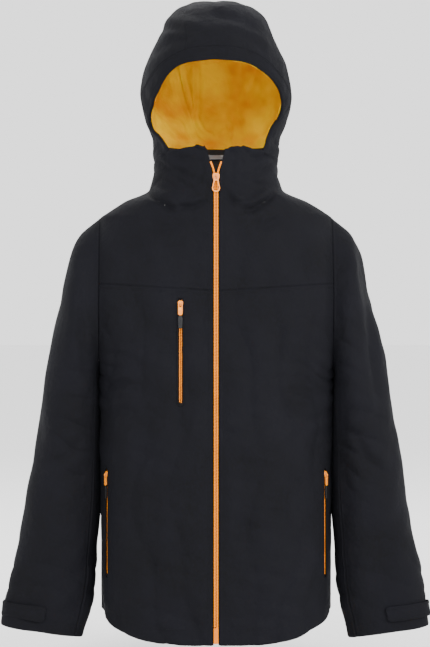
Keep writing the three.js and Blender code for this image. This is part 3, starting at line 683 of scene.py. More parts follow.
def coloured(tree, shader, share, first, second):
    """Lets the base colour run from the first colour to the second as the share goes from 0 to 1."""
    tree.links.new(mixed(tree, share, first, second), shader.inputs["Base Color"])


def roughened(tree, shader, share, low, high):
    """Lets the roughness run from low to high as the share goes from 0 to 1."""
    rough = add(tree, "ShaderNodeMapRange", {"Value": share, "To Min": low, "To Max": high})
    tree.links.new(rough.outputs[0], shader.inputs["Roughness"])


def relief(tree, shader, *layers):
    """Bumps over one another as the shader's normal: each layer is (strength, depth in metres, height)."""
    under = {}
    for strength, depth, height in layers:
        inputs = {"Strength": strength, "Distance": depth, "Height": height, **under}
        bump = add(tree, "ShaderNodeBump", inputs)
        under = {"Normal": bump.outputs[0]}
    tree.links.new(under["Normal"], shader.inputs["Normal"])


def shell_polyester(colours):
    # Matt polyester shell cloth, plain woven and water-repellent: dull, faintly mottled black.
    # Real threads are 0.35 mm apart, too fine to show, so they are drawn 0.9 mm apart.
    material, tree, shader = new_material(
        "shell_polyester_plain_woven", colours.shell, 0.82, sheen_weight=0.02, sheen_roughness=0.5, ior=1.5
    )
    shader.inputs["Sheen Tint"].default_value = linear("#8E929C")
    shader.inputs["Specular IOR Level"].default_value = 0.06
    threads = weave(tree, 0.0009)
    mottle = clouds(tree, 0.0042, 5.0, (0.3, 0.7))
    patches = clouds(tree, 0.09, 2.0)
    base = mixed(tree, mottle, colours.shell, colours.shell_light)
    worn = mixed(tree, patches, base, "#111116")
    # Painted shade: the hollows between the threads are darkened towards near-black.
    thread_hollow_shade = add(tree, "ShaderNodeMapRange", {"Value": threads, "To Min": 0.45, "To Max": 0.12})
    coloured(tree, shader, thread_hollow_shade.outputs[0], worn, "#050506")
    roughened(tree, shader, mottle, 0.7, 0.86)
    puckers = clouds(tree, 0.014, 3.0, (0.2, 0.8))
    relief(tree, shader, (0.7, 0.002, puckers), (0.5, 0.00022, threads))
    return material


def lining_taffeta(colours):
    # Bright polyester taffeta, calendered smooth: yellow-orange with a soft lustre and fine crinkles.
    # Its 0.2 mm threads are drawn 0.7 mm apart.
    material, tree, shader = new_material("lining_taffeta_calendered", colours.lining, 0.62, ior=1.5)
    shader.inputs["Specular IOR Level"].default_value = 0.08
    threads = weave(tree, 0.0007)
    patches = clouds(tree, 0.06, 2.0)
    base = mixed(tree, patches, colours.lining, colours.lining_deep)
    # Painted shade: the hollows between the threads are darkened towards a deep orange.
    thread_hollow_shade = add(tree, "ShaderNodeMapRange", {"Value": threads, "To Min": 0.14, "To Max": 0.0})
    coloured(tree, shader, thread_hollow_shade.outputs[0], base, "#A86A00")
    roughened(tree, shader, patches, 0.56, 0.7)
    crinkles = clouds(tree, 0.018, 3.0, (0.2, 0.8))
    relief(tree, shader, (0.8, 0.002, crinkles), (0.3, 0.00012, threads))
    return material


def dark_tricot(colours):
    # Brushed polyester tricot facing: short nap, soft and nearly black, lighter where it turns away.
    material, tree, shader = new_material(
        "facing_tricot_brushed", "#0D0D0F", 0.92, sheen_weight=0.08, sheen_roughness=0.45
    )
    shader.inputs["Sheen Tint"].default_value = linear("#7A7A82")
    nap = clouds(tree, 0.0016, 4.0, (0.25, 0.75))
    coloured(tree, shader, nap, "#0A0A0B", "#121214")
    relief(tree, shader, (0.5, 0.0004, nap))
    return material


def polyester_wadding(colours):
    # Spun-bonded polyester wadding: off-white loose fibres, quite rough and uneven.
    material, tree, shader = new_material("wadding_polyester_spun", "#E2E0D9", 0.95)
    fibres = clouds(tree, 0.003, 6.0, (0.3, 0.7))
    coloured(tree, shader, fibres, "#CFCDC6", "#EDEBE6")
    relief(tree, shader, (0.8, 0.001, fibres))
    return material


def woven_tape(colours):
    # Woven polyester zip tape: dense twill ribs 0.6 mm apart along the tape, dull black.
    material, tree, shader = new_material("zip_tape_polyester_twill", "#0B0B0C", 0.88)
    ribs = waves_in(tree, 0.0038, "DIAGONAL", 0.3)
    # Painted shade: the grooves between the ribs are drawn darker.
    coloured(tree, shader, ribs, "#070708", "#101012")
    relief(tree, shader, (0.4, 0.0002, ribs))
    return material


def moulded_acetal(colours):
    # Moulded acetal zip teeth: satin orange, a little paler on their convex crests.
    material, tree, shader = new_material("zip_teeth_acetal_moulded", colours.zip, 0.5, ior=1.48)
    shader.inputs["Specular IOR Level"].default_value = 0.12
    place = add(tree, "ShaderNodeNewGeometry")
    crest = add(
        tree, "ShaderNodeMapRange", {"Value": place.outputs["Pointiness"], "From Min": 0.48, "From Max": 0.62}
    )
    tone = clouds(tree, 0.02, 3.0)
    base = mixed(tree, tone, colours.zip, colours.zip_deep)
    coloured(tree, shader, crest.outputs[0], base, "#D87A10")
    roughened(tree, shader, tone, 0.32, 0.46)
    return material


def lacquered_zinc(colours):
    # Die-cast zinc slider under orange lacquer: glossy coat with fine orange-peel and small rubbed marks.
    material, tree, shader = new_material(
        "zip_slider_zinc_lacquered", colours.slider, 0.42, coat_weight=0.1, coat_roughness=0.25
    )
    rubbed = clouds(tree, 0.006, 5.0, (0.52, 0.72))
    coloured(tree, shader, rubbed, colours.slider, "#E8961E")
    roughened(tree, shader, rubbed, 0.28, 0.5)
    relief(tree, shader, (0.2, 0.0001, clouds(tree, 0.0012)))
    return material


def moulded_rubber(colours):
    # Moulded soft PVC pull tab: dark grey, fine matt grain from the tool.
    material, tree, shader = new_material("pull_tab_pvc_moulded", colours.tab, 0.5)
    shader.inputs["Specular IOR Level"].default_value = 0.25
    grain = clouds(tree, 0.0007, 3.0)
    coloured(tree, shader, grain, colours.tab, "#0E0E11")
    relief(tree, shader, (0.35, 0.00015, grain))
    return material


def label_satin(colours):
    # Woven polyester satin label: pale grey with a fine cross thread and a soft sheen.
    material, tree, shader = new_material("label_satin_woven", colours.label, 0.42, sheen_weight=0.3)
    threads = weave(tree, 0.0006)
    # Painted shade: the hollows between the threads are drawn darker grey.
    coloured(tree, shader, threads, "#5C5C5E", colours.label)
    relief(tree, shader, (0.4, 0.0001, threads))
    return material


def ribbed_webbing(colours):
    # Woven polypropylene webbing: black, with ribs 1.2 mm apart across its length.
    material, tree, shader = new_material("webbing_polypropylene_woven", "#1D1D20", 0.8, sheen_weight=0.15)
    ribs = waves_in(tree, 0.0075, "Z", 0.4)
    # Painted shade: the grooves between the ribs are drawn darker.
    coloured(tree, shader, ribs, "#09090A", "#161619")
    relief(tree, shader, (0.6, 0.0004, ribs))
    return material


def sewing_thread(colours):
    # Spun polyester thread: black and slightly waxy, with a twist every 0.5 mm.
    material, tree, shader = new_material("thread_polyester_spun", "#0C0C0F", 0.7)
    shader.inputs["Specular IOR Level"].default_value = 0.1
    twist = waves_in(tree, 0.003, "DIAGONAL")
    # Painted shade and highlight: the twist is drawn as darker and lighter bands, without any relief.
    coloured(tree, shader, twist, "#09090B", "#131317")
    return material


def studio_paper(colours):
    # Seamless matt background paper: even white with a barely visible fibre.
    material, tree, shader = new_material("background_paper_matt", "#F6F6F6", 0.95)
    coloured(tree, shader, clouds(tree, 0.01), "#F4F4F4", "#F8F8F8")
    return material


MAKERS = {
    "shell_fabric": shell_polyester,
    "lining_fabric": lining_taffeta,
    "dark_lining": dark_tricot,
    "wadding": polyester_wadding,
    "zip_tape": woven_tape,
    "zip_teeth": moulded_acetal,
    "zip_slider": lacquered_zinc,
    "rubber_tab": moulded_rubber,
    "label_satin": label_satin,
    "webbing": ribbed_webbing,
    "thread": sewing_thread,
    "paper": studio_paper,
}
finishes = {}


def finish(slot):
    """The material of one slot, made the first time that it is asked for."""
    if slot not in finishes:
        finishes[slot] = MAKERS[slot](bpy.context.scene.ski_jacket_colours)
    return finishes[slot]


# ---------- cloth panels ----------
def smooth(t):
    t = np.clip(t, 0, 1)
    return t * t * (3 - 2 * t)


def away_from(grid, side):
    """The distance of every point of a grid from one of its sides."""
    axis = 0 if side in ("bottom", "top") else 1
    run = runs(grid, axis)
    if side in ("bottom", "first"):
        return run
    return (run[-1:] if axis == 0 else run[:, -1:]) - run


def dressed(grid, folds, seams=(), fades=(), dip=1.0):
    """Lays folds on a panel's form, fades them beside some sides and sinks the cloth along its seams."""
    off = folds(grid) * bpy.context.scene.ski_jacket_sizes.fold_depth
    for side in fades:
        off = off * (0.15 + 0.85 * smooth(away_from(grid, side) / 26))
    for side in seams:
        off = off + dip * seam_dip(away_from(grid, side))
    return grid + grid_normals(grid) * off[..., None]


def edged(grid, rolls):
    """Turns some sides in: {side: (radius, facing)}. Returns the grid and its normals."""
    normals = grid_normals(grid)
    for side, (radius, facing) in rolls.items():
        grid, normals = roll_edge(grid, normals, side, radius, facing)
    return grid, normals


def level_where(curve, angle_of, share, start):
    """The level at which each column of the form meets a curve z = curve(x, y)."""
    z = np.full(share.shape, float(start))
    for _ in range(40):
        p = form_point(z, angle_of(z, share))
        z = 0.6 * z + 0.4 * curve(p[..., 0], p[..., 1])
    return z


def body_form(bottom, top, front, inner=lambda z: 0 * z, depth=0.0):
    """The left half of the body's form, front or back, between two curves: columns run outwards."""

    def angle_of(z, share):
        centre = angle_at(z, inner(z))
        outer = angle_at(z, CHEST_HALF + 1.8 + 0 * z)
        return (-1 if front else 1) * (centre + (outer - centre) * share)

    share = np.linspace(0, 1, 150)
    low = level_where(bottom, angle_of, share, -400 if bottom is not upper_yoke else -175)
    high = level_where(top, angle_of, share, -20 if top is neck_line else -175)
    v = np.linspace(0, 1, 240)[:, None]
    z = low + (high - low) * v
    return form_point(z, angle_of(z, share[None, :] + 0 * z), depth)


def hem_line(x, y):
    return hem_z(x)


def upper_yoke(x, y):
    return yoke_z(x) - 0.25


def lower_yoke(x, y):
    return yoke_z(x) + 0.25


def neck_line(x, y):
    return neck_z(y) + 0.25


def inner_hem(x, y):
    return hem_z(x) + 20


def whole_back(bottom, top, depth=0.0):
    half = body_form(bottom, top, False, depth=depth)
    return np.concatenate([half[:, :0:-1], half * [-1, 1, 1]], axis=1)


def sleeve_tube(first, last, depth=0.0, stations=(6.0, 0.0)):
    """The left sleeve's form between two angles in degrees, from the cuff up to the armhole."""
    rows = np.linspace(stations[0], stations[1], 300)[:, None]
    around = np.radians(np.linspace(first, last, max(int(abs(last - first) / 1.5), 40)))[None, :]
    return sleeve_point(rows, around, depth)


def slit(obj, matrix, half, low, high):
    """Cuts the long opening of a pocket zip through a panel."""
    box = bpy.data.objects.new("cutter", bpy.data.meshes.new("cutter"))
    bpy.context.scene.collection.objects.link(box)
    mesh = bmesh.new()
    bmesh.ops.create_cube(mesh, size=1)
    for v in mesh.verts:
        local = [v.co.x * 2 * half, v.co.y * 60 - 10, low + (v.co.z + 0.5) * (high - low)]
        v.co = Vector(placed(matrix, np.array([local]))[0]) * 0.001
    mesh.to_mesh(box.data)
    mesh.free()
    cut = obj.modifiers.new("slit", "BOOLEAN")
    cut.operation, cut.solver, cut.object = "DIFFERENCE", "EXACT", box
    baked(obj)
    bpy.data.objects.remove(box)


def baked(obj):
    """Makes an object's modifiers part of its mesh."""
    depsgraph = bpy.context.evaluated_depsgraph_get()
    mesh = bpy.data.meshes.new_from_object(obj.evaluated_get(depsgraph))
    obj.modifiers.clear()
    old = obj.data
    obj.data = mesh
    mesh.name = obj.name
    bpy.data.meshes.remove(old)
    return obj


def blended(obj, body):
    """Bakes an object's transform into its mesh, whose places are in metres; the body is not used."""
    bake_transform(obj)
    return obj


def crossing(obj, node, body, slot):
    """Hides the frame node and bakes the piece's transform, for cloth that lies across a joint; the slot is
    not used.
    """
    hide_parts(node)
    return blended(obj, body)


def sewn(name, grid, slot, body="garment", **cut):
    """A piece of cloth, its frame node hidden: garment cloth is tied to its body, hood and sleeve cloth only
    has its transform baked.
    """
    tie = settle if body == "garment" else crossing
    return tie(cloth(name, grid, finish(slot), **cut), name, body, slot)


# ---------- zips ----------
FRONT_ZIP = {"teeth": 3.6, "tape": 14.0, "slider": 6.2, "length": 14.0, "pull": 28.0, "end": 7.0}
SMALL_ZIP = {"teeth": 2.3, "tape": 11.0, "slider": 4.6, "length": 10.0, "pull": 20.0, "end": 4.0}
FRONT_LENGTH = (45 - HEM_Z) / math.cos(FRONT_LEAN)
SLIDER_REST = (9 - HEM_Z) / math.cos(FRONT_LEAN)
CHAIN_TOP, CHAIN_LOW = 0.8, 5.0
TEETH_GAP = 0.55  # half the space between the two rows of teeth
PLATE_OUT = CHAIN_TOP - 2.2  # depth of a slider's outer face


def on_front(x, z):
    rest = max(1 - (abs(x) / float(half_width(z))) ** float(fullness(z)), 0)
    return np.array([x, -float(front_depth(z)) * rest ** (1 / float(fullness(z))), z])


def zip_frame(origin, up, out):
    """The axes of a zip: across, into the garment and up the chain, with its lower end."""
    z = up / np.linalg.norm(up)
    y = -out + z * (out @ z)
    y = y / np.linalg.norm(y)
    return np.array([np.cross(y, z), y, z, origin])


def placed(matrix, points):
    return points @ matrix[:3] + matrix[3]


front_frame = zip_frame(
    np.array([0, -float(front_depth(HEM_Z)), HEM_Z]),
    np.array([0, math.sin(FRONT_LEAN), math.cos(FRONT_LEAN)]),
    np.array([0, -math.cos(FRONT_LEAN), math.sin(FRONT_LEAN)]),
)


def pocket_frame(x, low, high):
    a, b = on_front(x, low), on_front(x, high)
    across = on_front(x + 3, (low + high) / 2) - on_front(x - 3, (low + high) / 2)
    return zip_frame(a, b - a, np.cross(across, b - a)), float(np.linalg.norm(b - a))


POCKETS = {
    "chest": (-61, -372, -196, (-165, -385, -75, -192)),
    "hand_left": (190, -672, -492, (58, -700, 176, -500)),
    "hand_right": (-190, -672, -492, (-176, -700, -58, -500)),
}


def repeated():
    """The node tree that repeats a small piece along an edge chain, a pitch apart."""
    tree = bpy.data.node_groups.get("Repeat along a line")
    if tree:
        return tree
    tree = bpy.data.node_groups.new("Repeat along a line", "GeometryNodeTree")
    for name, kind in (
        ("Geometry", "NodeSocketGeometry"),
        ("Pitch", "NodeSocketFloat"),
        ("Piece", "NodeSocketObject"),
        ("Finish", "NodeSocketMaterial"),
        ("Unevenness", "NodeSocketFloat"),
    ):
        tree.interface.new_socket(name, in_out="INPUT", socket_type=kind)
    tree.interface.new_socket("Geometry", in_out="OUTPUT", socket_type="NodeSocketGeometry")
    given = add(tree, "NodeGroupInput")
    line = add(tree, "GeometryNodeMeshToCurve", {"Mesh": given.outputs["Geometry"]})
    even_line = add(
        tree,
        "GeometryNodeResampleCurve",
        {"Curve": line.outputs[0], "Length": given.outputs["Pitch"]},
        mode="LENGTH",
    )
    tangent = add(tree, "GeometryNodeInputTangent")
    turn = add(tree, "FunctionNodeAlignRotationToVector", {"Vector": tangent.outputs[0]}, axis="Z")
    piece = add(tree, "GeometryNodeObjectInfo", {"Object": given.outputs["Piece"], "As Instance": True})
    vary = add(tree, "FunctionNodeRandomValue", {"Seed": 7}, data_type="FLOAT")
    low = add(tree, "ShaderNodeMath", {0: 1.0, 1: given.outputs["Unevenness"]}, operation="SUBTRACT")
    high = add(tree, "ShaderNodeMath", {0: 1.0, 1: given.outputs["Unevenness"]}, operation="ADD")
    tree.links.new(low.outputs[0], vary.inputs[2])
    tree.links.new(high.outputs[0], vary.inputs[3])
    inputs = {
        "Points": even_line.outputs[0],
        "Instance": piece.outputs["Geometry"],
        "Rotation": turn.outputs[0],
        "Scale": vary.outputs[1],
    }
    many = add(tree, "GeometryNodeInstanceOnPoints", inputs)
    real = add(tree, "GeometryNodeRealizeInstances", {"Geometry": many.outputs[0]})
    done = add(
        tree, "GeometryNodeSetMaterial", {"Geometry": real.outputs[0], "Material": given.outputs["Finish"]}
    )
    add(tree, "NodeGroupOutput", {"Geometry": done.outputs[0]})
    return tree


def along(name, lines, piece, pitch, slot, unevenness=0.0):
    """Many copies of a small piece along lines of points in millimetres, as one plain mesh."""
    points, edges = [], []
    for line in lines:
        edges += [(len(points) + i, len(points) + i + 1) for i in range(len(line) - 1)]
        points += list(line)
    mesh = bpy.data.meshes.new(name)
    mesh.from_pydata((np.array(points) * 0.001).tolist(), edges, [])
    obj = bpy.data.objects.new(name, mesh)
    bpy.context.scene.collection.objects.link(obj)
    tree = repeated()
    modifier = obj.modifiers.new("repeat", "NODES")
    modifier.node_group = tree
    values = {"Pitch": pitch * 0.001, "Piece": piece, "Finish": finish(slot), "Unevenness": unevenness}
    for socket in tree.interface.items_tree:
        if socket.in_out == "INPUT" and socket.name in values:
            modifier[socket.identifier] = values[socket.name]
    baked(obj)
    obj.data.polygons.foreach_set("use_smooth", np.ones(len(obj.data.polygons), bool))
    return obj


def small_block(name, x, y, z, round_off, slot, turn=0.0):
    """A small rounded block, its sizes in millimetres, to be repeated; it may be turned about its z axis."""
    corners = np.array(
        [(sx * x / 2, sy * y / 2, sz * z / 2) for sx in (-1, 1) for sy in (-1, 1) for sz in (-1, 1)]
    )
    corners = corners @ [[math.cos(turn), math.sin(turn), 0], [-math.sin(turn), math.cos(turn), 0], [0, 0, 1]]
    faces = [(0, 1, 3, 2), (4, 6, 7, 5), (0, 4, 5, 1), (2, 3, 7, 6), (0, 2, 6, 4), (1, 5, 7, 3)]
    return plain(corners, faces, name, finish(slot), bevel=round_off, segments=1)


def teeth_line(zip_size, side, low, high, shift, spread=lambda s: 0.0):
    """The line that one row of teeth stands on, in the zip's own axes."""
    s = np.linspace(low + shift, high, max(int((high - low) / 6), 2))
    x = side * (TEETH_GAP + zip_size["teeth"] / 2 - 0.15 + np.array([spread(t) for t in s]))
    return np.stack([x, np.full_like(s, (CHAIN_TOP + CHAIN_LOW) / 2), s], -1)


def front_spread(s):
    """How far the two rows of the front zip stand apart above the slider."""
    return 9.0 * float(np.clip((s - SLIDER_REST - 8) / 30, 0, 1)) ** 1.5


def tape_strip(name, zip_size, side, low, high, matrix, spread=lambda s: 0.0, inner=None):
    """A thin woven tape beside a row of teeth."""
    s = np.linspace(low, high, max(int((high - low) / 8), 3))[:, None]
    inner = TEETH_GAP + zip_size["teeth"] if inner is None else inner
    x = np.linspace(inner, zip_size["tape"], 6)[None, :]
    if side < 0:
        x = -x[:, ::-1]
    move = np.array([spread(float(t)) for t in s[:, 0]])[:, None] * side
    local = np.stack([x + move, np.full((len(s), 6), 4.4) + 0 * s, s + 0 * x], -1)
    grid = placed(matrix, local.reshape(-1, 3)).reshape(local.shape)
    return cloth(name, grid, finish("zip_tape"), thickness=0.7)


def flat_piece(loops, near, deep, bevel):
    """A plate from flat loops of (x, z): the first is its outline and the others are holes. Rounded rims."""
    curve = bpy.data.curves.new("plate", "CURVE")
    curve.dimensions, curve.fill_mode = "2D", "BOTH"
    curve.extrude = (deep - near) / 2 - bevel
    curve.bevel_depth, curve.bevel_resolution = bevel, 1
    curve.offset = -bevel
    for loop in loops:
        spline = curve.splines.new("POLY")
        spline.points.add(len(loop) - 1)
        for point, (x, z) in zip(spline.points, loop):
            point.co = (x, z, 0, 1)
        spline.use_cyclic_u = True
    obj = bpy.data.objects.new("plate", curve)
    bpy.context.scene.collection.objects.link(obj)
    depsgraph = bpy.context.evaluated_depsgraph_get()
    mesh = bpy.data.meshes.new_from_object(obj.evaluated_get(depsgraph))
    points = np.array([v.co for v in mesh.vertices], float)
    faces = [list(p.vertices)[::-1] for p in mesh.polygons]
    bpy.data.objects.remove(obj)
    bpy.data.meshes.remove(mesh)
    return np.stack([points[:, 0], (near + deep) / 2 + points[:, 2], points[:, 1]], -1), faces


def ring_faces(count, sides, closed=False):
    """The faces of a bar made of rings of points; a closed bar joins its last ring to its first."""
    faces = []
    for r in range(count if closed else count - 1):
        here, there = r * sides, (r + 1) % count * sides
        faces += [
            (here + i, here + (i + 1) % sides, there + (i + 1) % sides, there + i) for i in range(sides)
        ]
    if not closed:
        faces += [tuple(range(sides))[::-1], tuple(range((count - 1) * sides, count * sides))]
    return faces


def tube(path, radius, sides=10):
    """A closed round bar along a path of points."""
    path = np.array(path, float)
    tangent = np.gradient(path, axis=0)
    tangent /= np.linalg.norm(tangent, axis=1, keepdims=True)
    first = np.cross(tangent, [1.0, 0.02, 0.01])
    first /= np.linalg.norm(first, axis=1, keepdims=True)
    second = np.cross(tangent, first)
    turn = np.linspace(0, 2 * math.pi, sides, endpoint=False)[:, None]
    rings = path[:, None] + radius * (np.cos(turn) * first[:, None] + np.sin(turn) * second[:, None])
    return rings.reshape(-1, 3), ring_faces(len(path), sides)


def joined(parts):
    """Several point and face lists as one."""
    points, faces, base = [], [], 0
    for p, f in parts:
        points.append(np.asarray(p, float))
        faces += [tuple(i + base for i in face) for face in f]
        base += len(p)
    return np.concatenate(points), faces


def zip_slider(name, zip_size, at, matrix):
    """A slider: two rounded plates, the web between them and the bail that holds the pull."""
    half, length = zip_size["slider"], zip_size["length"]
    share = ((0.62, 0), (0.86, 0.25), (1, 0.62), (0.96, 0.86), (0.7, 0.97), (0.3, 1))
    shield = [(half * a, length * b) for a, b in share]
    outline = [(x, at + z) for x, z in shield] + [(-x, at + z) for x, z in shield[::-1]]
    plate_in = CHAIN_TOP - 0.4
    parts = [
        flat_piece([outline], PLATE_OUT, plate_in, 0.45),
        flat_piece([outline], CHAIN_LOW + 0.4, CHAIN_LOW + 1.9, 0.35),
    ]
    web = [(-0.22, at), (0.22, at), (0.22, at + length), (-0.22, at + length)]
    parts.append(flat_piece([web], plate_in - 0.5, CHAIN_LOW + 0.6, 0.05))
    low, high = at + length - 10, at + length - 3
    arch = [
        (0, PLATE_OUT + 0.5 - 4.0 * math.sin(t) ** 0.6, low + 0.6 + (high - low - 1.2) * t / math.pi)
        for t in np.linspace(0.001, math.pi - 0.001, 13)
    ]
    parts.append(tube(arch, 0.75))
    points, faces = joined(parts)
    return plain(placed(matrix, points), faces, name, finish("zip_slider"))


def pull_place(zip_size, at):
    """Depth and height of the bar on which a pull swings."""
    return PLATE_OUT - (4 - 1.2) / 2, at + zip_size["length"] - 3 - 1.2 - 0.5 - 0.6


def rounded(loop, radius, steps=5):
    """A loop with its corners rounded."""
    loop = np.array(loop, float)
    out = []
    for a, b, c in zip(np.roll(loop, 1, 0), loop, np.roll(loop, -1, 0)):
        reach = min(radius, 0.45 * np.linalg.norm(a - b), 0.45 * np.linalg.norm(c - b))
        p = b + (a - b) / max(np.linalg.norm(a - b), 1e-9) * reach
        q = b + (c - b) / max(np.linalg.norm(c - b), 1e-9) * reach
        for t in np.linspace(0, 1, steps):
            out.append((1 - t) ** 2 * p + 2 * t * (1 - t) * b + t * t * q)
    return out


def zip_pull(name, zip_size, at, matrix):
    """A pull: a plate with a window round the bail, widening to a rounded ring."""
    deep, pivot = pull_place(zip_size, at)
    end = zip_size["end"]
    window_low = pivot - 5.8
    end_z = pivot - zip_size["pull"] + end
    ring = [(end * math.cos(t), end_z + end * math.sin(t)) for t in np.linspace(math.pi, 2 * math.pi, 17)]
    neck = [(4, window_low), (4, pivot + 0.6), (-4, pivot + 0.6), (-4, window_low)]
    outline = ring + neck[:1] + rounded(neck, 1.4)[5:15] + neck[-1:]
    holes = [rounded([(-2, window_low), (2, window_low), (2, pivot - 0.6), (-2, pivot - 0.6)], 0.9)]
    if end > 5:
        wide, narrow = end - 2.2, 1.8
        low, high = end_z - wide * 0.45, window_low - 2.2
        right = [(wide * 0.8, low - 2), (wide, end_z + 1), (narrow, high)]
        holes.append(rounded([(-wide * 0.8, low - 2), *right, (-narrow, high), (-wide, end_z + 1)], 2.0))
    points, faces = flat_piece([outline, *holes], deep - 0.7, deep + 0.7, 0.3)
    return plain(placed(matrix, points), faces, name, finish("zip_slider"))


def zip_tab(name, zip_size, at, matrix):
    """The soft tab below a pull: a rounded, slightly waisted grip with three moulded ribs."""
    deep, pivot = pull_place(zip_size, at)
    top = pivot - zip_size["pull"] - 0.3
    outline = rounded(
        [(3, top), (4.2, top - 6), (3.3, top - 22), (-3.3, top - 22), (-4.2, top - 6), (-3, top)], 1.8
    )
    parts = [flat_piece([outline], deep - 1.1, deep + 1.1, 0.5)]
    for k in range(3):
        z = top - 9 - 3.4 * k
        parts.append(tube([(-2.6, deep - 1.0, z), (0, deep - 1.1, z), (2.6, deep - 1.0, z)], 0.45, 6))
    points, faces = joined(parts)
    return plain(placed(matrix, points), faces, name, finish("rubber_tab"))


def loop_piece(name, path, inward, radius, flat, slot):
    """A closed piping round a slot: a rounded bar along a closed path, flattened along the inward axis."""
    path = np.array(path, float)
    tangent = np.roll(path, -1, 0) - np.roll(path, 1, 0)
    tangent /= np.linalg.norm(tangent, axis=1, keepdims=True)
    outward = np.cross(tangent, inward)
    sides = 10
    turn = np.linspace(0, 2 * math.pi, sides, endpoint=False)[:, None]
    rings = path[:, None] + radius * (np.cos(turn) * outward[:, None] + flat * np.sin(turn) * inward)
    return plain(rings.reshape(-1, 3), ring_faces(len(path), sides, closed=True), name, finish(slot))


# ---------- settings ----------
class SkiJacketSizes(bpy.types.PropertyGroup):
    """Sizes of the cloth and its sewing."""

    cloth_step: bpy.props.FloatProperty(
        name="Cloth step",
        description="Space between the cloth's points, in mm",
        default=4.6,
        min=2.0,
        max=12.0,
    )
    fold_depth: bpy.props.FloatProperty(
        name="Fold depth",
        description="How deep the folds are, as a share of the usual depth",
        default=1.0,
        min=0.0,
        max=2.0,
    )
    hem_roll: bpy.props.FloatProperty(
        name="Hem roll", description="Radius of the turned hem, in mm", default=4.2, min=1.0, max=8.0
    )
    stitch_pitch: bpy.props.FloatProperty(
        name="Stitch pitch", description="Space from stitch to stitch, in mm", default=3.4, min=1.5, max=8.0
    )
    tooth_pitch: bpy.props.FloatProperty(
        name="Tooth pitch",
        description="Space from tooth to tooth of the zips, in mm",
        default=2.6,
        min=1.5,
        max=5.0,
    )


class SkiJacketColours(bpy.types.PropertyGroup):
    """Colours of the cloths and fittings, as sRGB hex values."""

    shell: bpy.props.StringProperty(name="Shell", description="Outer cloth", default="#0A0A0C")
    shell_light: bpy.props.StringProperty(
        name="Shell, raised threads", description="Lighter mottle of the outer cloth", default="#121217"
    )
    lining: bpy.props.StringProperty(name="Lining", description="Hood and body lining", default="#EBC400")
    lining_deep: bpy.props.StringProperty(
        name="Lining, deep", description="Deeper patches of the lining", default="#D08A00"
    )
    zip: bpy.props.StringProperty(name="Zip teeth", description="Teeth of every zip", default="#BE5F00")
    zip_deep: bpy.props.StringProperty(
        name="Zip teeth, deep", description="Deeper tone of the teeth", default="#A85000"
    )
    slider: bpy.props.StringProperty(name="Sliders", description="Sliders and pulls", default="#D07400")
    tab: bpy.props.StringProperty(
        name="Pull tabs", description="Soft grips on the pocket pulls", default="#070709"
    )
    label: bpy.props.StringProperty(name="Label", description="Blank neck label", default="#77777A")


class JacketOperator:
    """What every piece's operator shares."""

    bl_options = {"REGISTER", "UNDO"}

    def execute(self, context):
        self.make(context, context.scene.ski_jacket_sizes)
        return {"FINISHED"}


# ---------- pieces ----------
stitch_lines = {}


def topstitch(place, grid, side, inset=6.5, lift=0.15):
    """Remembers a stitch line on a panel, a little in from one of its sides."""
    if side in ("first", "last"):
        grid = grid.swapaxes(0, 1)
    if side in ("top", "last"):
        grid = grid[::-1]
    lengths = np.linalg.norm(np.diff(grid, axis=0), axis=-1).sum(0).mean()
    row = resampled(grid, np.array([inset / lengths, 2 * inset / lengths]))
    across = np.gradient(row[0], axis=0)
    normal = np.cross(across, row[1] - row[0])
    normal /= np.maximum(np.linalg.norm(normal, axis=-1, keepdims=True), 1e-9)
    flip = -1 if side in ("top", "first") else 1
    stitch_lines.setdefault(place, []).append(row[0] + normal * lift * flip)


class SKIJACKET_OT_body(JacketOperator, bpy.types.Operator):
    """Makes the outer cloth of the body: two fronts, two front yokes, the back and its yoke"""

    bl_idname = "ski_jacket.body"
    bl_label = "Body shell"

    def make(self, context, sizes):
        step = sizes.cloth_step
        lower = even(body_form(hem_line, lower_yoke, True, front_edge), step)
        yoke = even(body_form(upper_yoke, neck_line, True, front_edge), step)
        frames = {name: pocket_frame(x, low, high) for name, (x, low, high, _) in POCKETS.items()}
        for side, turned in (("left", lambda g: g), ("right", mirrored)):
            centre, outer = ("first", "last") if side == "left" else ("last", "first")
            panel = dressed(turned(lower), body_folds, seams=("top", outer), fades=(outer,))
            grid, normals = edged(panel, {"bottom": (sizes.hem_roll, 24), centre: (1.5, 8)})
            obj = cloth(f"front_panel_{side}", grid, finish("shell_fabric"), normals=normals)
            for name, (matrix, length) in frames.items():
                if (POCKETS[name][0] > 0) == (side == "left"):
                    slit(obj, matrix, 4.4, -5, length + 4)
            settle(obj, f"front_panel_{side}", "garment", "shell_fabric")
            for edge, inset in (("top", 6.5), (centre, 6.0), ("bottom", 22.0)):
                topstitch("garment", panel, edge, inset)
            panel = dressed(turned(yoke), body_folds, seams=("bottom", outer), fades=(outer,))
            grid, normals = edged(panel, {centre: (1.5, 8)})
            sewn(f"front_yoke_{side}", grid, "shell_fabric", normals=normals)
            for edge in (centre, outer):
                topstitch("garment", panel, edge)
        panel = dressed(
            even(whole_back(hem_line, lower_yoke), step),
            body_folds,
            seams=("top", "first", "last"),
            fades=("first", "last"),
        )
        grid, normals = edged(panel, {"bottom": (sizes.hem_roll, 24)})
        sewn("back_panel", grid, "shell_fabric", normals=normals)
        topstitch("garment", panel, "bottom", 22.0)
        topstitch("garment", panel, "top")
        panel = dressed(
            even(whole_back(upper_yoke, neck_line), step),
            body_folds,
            seams=("bottom", "top", "first", "last"),
            fades=("first", "last", "top"),
        )
        sewn("back_yoke", panel, "shell_fabric")
        for edge in ("first", "last"):
            topstitch("garment", panel, edge)


